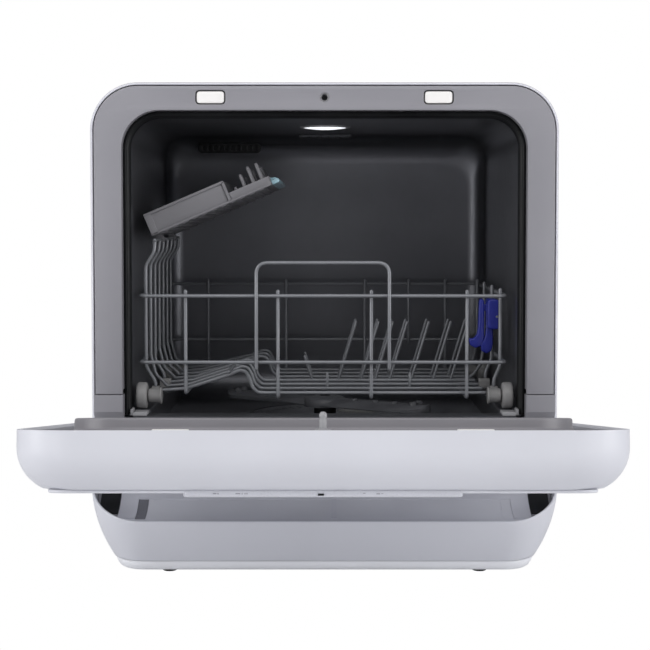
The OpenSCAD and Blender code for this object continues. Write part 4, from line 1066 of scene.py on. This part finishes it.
def tray():
    """Two walled fields with slotted floors, spikes, hangers on the rod and a pale blue tip."""
    front, back = 38, 250
    walls, bars, lips = bmesh.new(), bmesh.new(), bmesh.new()
    tray_walls(walls, 0, 79, front, back, 21, 5)
    tray_walls(walls, 77.4, 120, front, back, 9, 4)

    def floor(x0, x1, r, *slots):
        outline = round_rect(x0, x1, front + 0.8, back - 0.8, r, 5)
        holes = [round_rect(a, b, 45 + i * 16.6, 45 + width + i * 16.6, 2.2, 4)
                 for a, b, width in slots for i in range(12)]
        return plate([outline] + holes, 0.1, 2.2, 0.5, on_tray)

    parts = [walls, floor(0.8, 78.4, 4, (5, 33, 11), (38, 75, 11)), floor(78.2, 119.2, 3, (83, 114, 10))]
    for x, h in ((35, 4.6), (56, 3.4), (90, 3.4), (99, 3.4), (108, 3.4)):
        prism([(x - 0.9, 1.8), (x + 0.9, 1.8), (x + 0.7, h), (x - 0.7, h)], (front + 1.6, back - 1.6), tray_xz, bars)
    for x, top in ((87, 12), (95.5, 21), (104.5, 25), (113, 25)):
        for y in (47, 134, 238):
            lathe([(0.5, 1.4), (2.5, 1.6), (1.95, 3.6), (1.7, top - 2), (1.2, top - 0.5), (0.5, top)],
                  lambda u, v, h: on_tray(x + u, y + v, h), 12, bm=bars)
    # rim, end posts and foot strip that frame the tall wall's face
    for y0, y1 in ((36.9, 38.3), (249.7, 251.1)):
        for box in ((-0.8, 79.4, 19, 21.4), (-0.8, 6, 0.6, 20), (-0.8, 118, 0.2, 2.2), (77, 79.6, 1, 20.4)):
            parts.append(plate([round_rect(*box, 0.7, 3)], y0, y1, 0.4, tray_xz))
    # teeth under the slatted floor
    for x in (13.5 + 9.5 * k for k in range(11)):
        prism([(x - 2.5, 0.4), (x + 2.5, 0.4), (x + 2.3, -0.7), (x - 2.3, -0.7)], (front + 0.6, back - 0.6),
              tray_xz, bars)
    # sleeves on the rod, each with a web up to the floor
    c, s = cos(TRAY_TILT), sin(TRAY_TILT)
    web = [(ROD_X + u * c - v * s, ROD_Z + u * s + v * c)
           for u, v in ((-2.6, 2.4), (3, 2.4), (3, 4.4), (-3, 4.4))]
    for y in (88, 192):
        section = ((3.5, y), (3.5, y + 10), (1.62, y + 10), (1.62, y))
        wrap([placed(circle(ROD_X, ROD_Z, r), end) for r, end in section], bm=bars)
        prism(web, (y + 0.4, y + 9.6), in_xz, bars)
    piece("tray_moulding", join(*parts, bars), "tray_grey", "cutlery_tray", "cutlery_tray")
    tip = plate([round_rect(118.2, 127, 46, 242, 2.4, 5)], 0.2, 4.6, 1.2, on_tray)
    for y in (52 + 23 * k for k in range(9)):
        prism([(119, 4.2), (126, 4.2), (124.6, 6), (119, 7.4)], (y, y + 1.6), tray_xz, lips)
    piece("tray_tip", join(tip, lips), "tip_blue", None, "cutlery_tray")


tray()


# ---- clip, latch, catches, dispenser

def clip():
    """Blue cup holder: a saddle on the side wire and two fingers that end in scoops."""
    left = [(145.6, 236.2), (147.6, 238.6), (150.4, 236), (150.6, 203), (149.8, 196.4), (146.9, 192.6),
            (142, 191.4), (137.2, 194), (135.6, 200.4), (140.8, 200.6), (143.6, 204.2), (144.6, 210)]
    right = [(152.4, 234.6), (155, 236.2), (158.6, 234.4), (158.8, 195), (157.2, 188.4), (152.8, 186),
             (148, 188.4), (146.8, 195.6), (149.8, 198.6), (151.4, 203), (152, 210)]
    parts = []
    for outline, back in ((left, 70), (right, 71)):
        rounded = bend([(x, z, 0) for x, z in outline + outline[:1]], 2.2, 3)[:-1]
        parts.append(plate([[(p.x, p.y) for p in reversed(rounded)]], 62.5, back, 1.5))
    parts.append(plate([round_rect(153, 164, 209.5, 237.6, 3.2, 6)], 56, 84, 1.4))
    parts.append(plate([round_rect(145.6, 158, 226.4, 233, 1.6, 4)], 64.4, 69.6, 0.8))
    piece("rack_clip_moulding", join(*parts), "clip_blue", "rack_clip", "basket", smooth=46)
    pin = [(0.2, 55.2), (0.9, 55.3), (1.3, 55.8), (1.3, 84.6), (0.9, 85.1), (0.2, 85.2)]
    piece("rack_clip_pin", lathe(pin, level(161.6, 221.5), 16), "zinc_steel", body="basket")


def catches():
    """White pads of the door catches, domed slightly and rounded all round."""
    for side, s in (("left", -1), ("right", 1)):
        x, body = s * CATCH_X, "catch_" + side
        face = plate([pad(x, CATCH_Z, 12.4, 5.4, 2.8)], 0.5, 3.6, 1.1)
        stem = plate([pad(x, CATCH_Z, 6, 2.5, 0.8, 3)], 3.3, 16.6, 0.4)
        piece("catch_pad_" + side, join(face, stem), "catch_white", body, body)


def door_fittings():
    """Latch peg and the white strikes that meet the catches."""
    peg = [(0.2, -2.2), (5.4, -2.2), (6, -1.9), (6, -0.4), (5.4, 0.2), (3.3, 0.4), (2.6, 1), (2.5, 6.4),
           (2.2, 7.4), (2.7, 9.2), (2.6, 10.4), (2, 11.5), (1.2, 12.1), (0.2, 12.2)]
    piece("latch_peg_turned", lathe(peg, level(0, CATCH_Z, on_door), 32), "light_grey", "latch_peg", "door")
    strikes = [plate([pad(s * CATCH_X, CATCH_Z, 12.3, 5.3, 2.7)], -4, 0.4, 0.7, door_xz) for s in (-1, 1)]
    piece("strike_pads", join(*strikes), "catch_white", "strike_plates", "door")


def dispenser():
    """Detergent cup, pre-wash pocket and rinse-aid filler in a lipped frame, and the sliding lid."""
    holes = [round_rect(-58, -8, 192, 236, 5, 6), round_rect(34, 60, 192, 236, 5, 6), circle(14, 222, 12)]
    parts = [plate([round_rect(-70, 70, 180, 250, 6, 6)] + holes, -15, -13.7, 0.5, door_xz)]
    for loop, floor in zip(holes, (-33, -22, -33)):
        cx, cz = (sum(axis) / len(loop) for axis in zip(*loop))

        def rings(*section):
            return [[on_door(cx + (u - cx) * k + copysign(grow, u - cx), y,
                             cz + (v - cz) * k + copysign(grow, v - cz)) for u, v in loop]
                    for k, grow, y in section]

        parts.append(vessel(rings((1, 0, -14), (1, 0, floor + 4), (0.98, 0, floor + 1.4), (0.92, 0, floor)),
                            rings((0.92, 0, floor - 1.4), (1, 1.4, floor - 1.4), (1, 1.4, -14.4))))
    piece("dispenser_moulding", join(*parts), "liner_grey", "dispenser_body", "door")
    cap = lathe([(0.3, -11.4), (2.2, -11.3), (2.6, -12.3), (9.6, -12.4), (11, -12.9), (11.4, -13.8),
                 (11.4, -17.8), (0.3, -17.8)], level(14, 222, on_door))
    cross = plate([round_rect(13, 15, 213.6, 230.4, 0.9, 3)], -12.6, -10.9, 0.4, door_xz)
    piece("rinse_aid_cap", join(cap, cross), "clip_blue", body="door")
    lid = plate([round_rect(-61, -5, 188, 240, 5, 6)], -13.5, -11.6, 0.6, door_xz)
    grips = [plate([round_rect(-50, -16, 198 + i * 4, 199.7 + i * 4, 0.7, 3)], -11.8, -10.7, 0.3, door_xz)
             for i in range(5)]
    piece("dispenser_slide", join(lid, *grips), "light_grey", "dispenser_lid", "dispenser_lid")


clip()
catches()
door_fittings()
dispenser()

# CAD nodes that stay in view: small rounded edges, of these widths
for name, width in (
    ("rear_panel", 0.5), ("hinge_covers", 0.6), ("base_tray", 0.6), ("filler_lid", 0.8), ("filter_plate", 0.25),
    ("filter_cup", 0.3), ("cord_gland", 0.5), ("inlet_valve", 0.4), ("drain_outlet", 0.3), ("hinge_arms", 0.3),
    ("side_tank", 0.6), ("casing_screws", 0.15),
):
    edges = frame["nodes"][name].modifiers.new("edges", "BEVEL")
    edges.width = width * MM
    edges.segments = 2
    edges.limit_method = "ANGLE"
    edges.angle_limit = radians(30)
    edges.harden_normals = False


# ---- floor, lights and camera, in metres

def backdrop():
    """Seamless white paper: floor that curves up behind the object, and plain white to the camera."""
    bm = bmesh.new()
    edge, wall_y, radius, below = 7, 3.2, 1.2, 0.0002
    section = ([(-6, 0)] + arc(wall_y - radius, radius, radius, -90, -6, 14)
               + [(wall_y, radius), (wall_y, 6)])
    skin(bm, [[(x, y, z - below) for x in (-edge, edge)] for y, z in section], closed=False)
    obj = mesh_object("backdrop", bm)
    shade_smooth(obj)
    n = Nodes("paper", "ffffff")
    n.set(Roughness=0.9, Base_Color=(0.86, 0.86, 0.87, 1))
    white = n.node("ShaderNodeEmission", Strength=1)
    path = n.node("ShaderNodeLightPath").outputs
    direct = n.node("ShaderNodeMath", {0: path["Is Camera Ray"], 1: path["Is Transmission Ray"]}, "MAXIMUM")
    mix = n.node("ShaderNodeMixShader", {0: direct.outputs[0], 1: n.shader.outputs[0], 2: white.outputs[0]})
    n.tree.links.new(mix.outputs[0], n.tree.nodes["Material Output"].inputs["Surface"])
    obj.data.materials.append(n.mat)


def area(name, place, aim, size, power):
    light = bpy.data.lights.new(name, "AREA")
    light.shape = "RECTANGLE"
    light.size, light.size_y = size
    light.energy = power
    obj = in_scene(name, light)
    obj.location = place
    obj.rotation_euler = (Vector(aim) - Vector(place)).to_track_quat("-Z", "Y").to_euler()


def world():
    """Pale room light, white to the camera, with less of it in reflections than in the shading."""
    room = bpy.data.worlds.new("studio")
    room.use_nodes = True
    tree = room.node_tree
    ground = tree.nodes["Background"].inputs
    ground["Color"].default_value = (0.95, 0.96, 1, 1)
    path = node(tree, "ShaderNodeLightPath").outputs
    light = node(tree, "ShaderNodeMapRange", {"Value": path["Is Glossy Ray"]}, To_Min=0.31, To_Max=0.11)
    seen = node(tree, "ShaderNodeMath", {0: light.outputs["Result"], 1: path["Is Camera Ray"]}, "MAXIMUM")
    tree.links.new(seen.outputs[0], ground["Strength"])
    bpy.context.scene.world = room


def camera():
    """The photograph's view."""
    data = bpy.data.cameras.new("camera")
    data.lens = 80.846
    data.sensor_width = 36
    data.shift_x, data.shift_y = -0.006, -0.05
    data.clip_start, data.clip_end = 0.05, 50
    obj = in_scene("camera", data)
    obj.location = at(3.9, -1310.2, 311.4)
    obj.rotation_euler = (radians(90 - 2.816), 0, 0)
    bpy.context.scene.camera = obj


backdrop()
area("key", (0, -1.6, 1.9), (0, 0, 0.2), (2.4, 1.4), 21)
for name, s in (("left", -1), ("right", 1)):
    area(name, (s * 1.7, -0.7, 0.7), (0, 0, 0.25), (1, 1.6), 15)
    area("low_" + name, (s * 1.3, -1.9, 0.16), (0, 0.3, 0.2), (0.9, 0.28), 3.3)
world()
camera()

view = bpy.context.scene.view_settings
view.view_transform = "Standard"
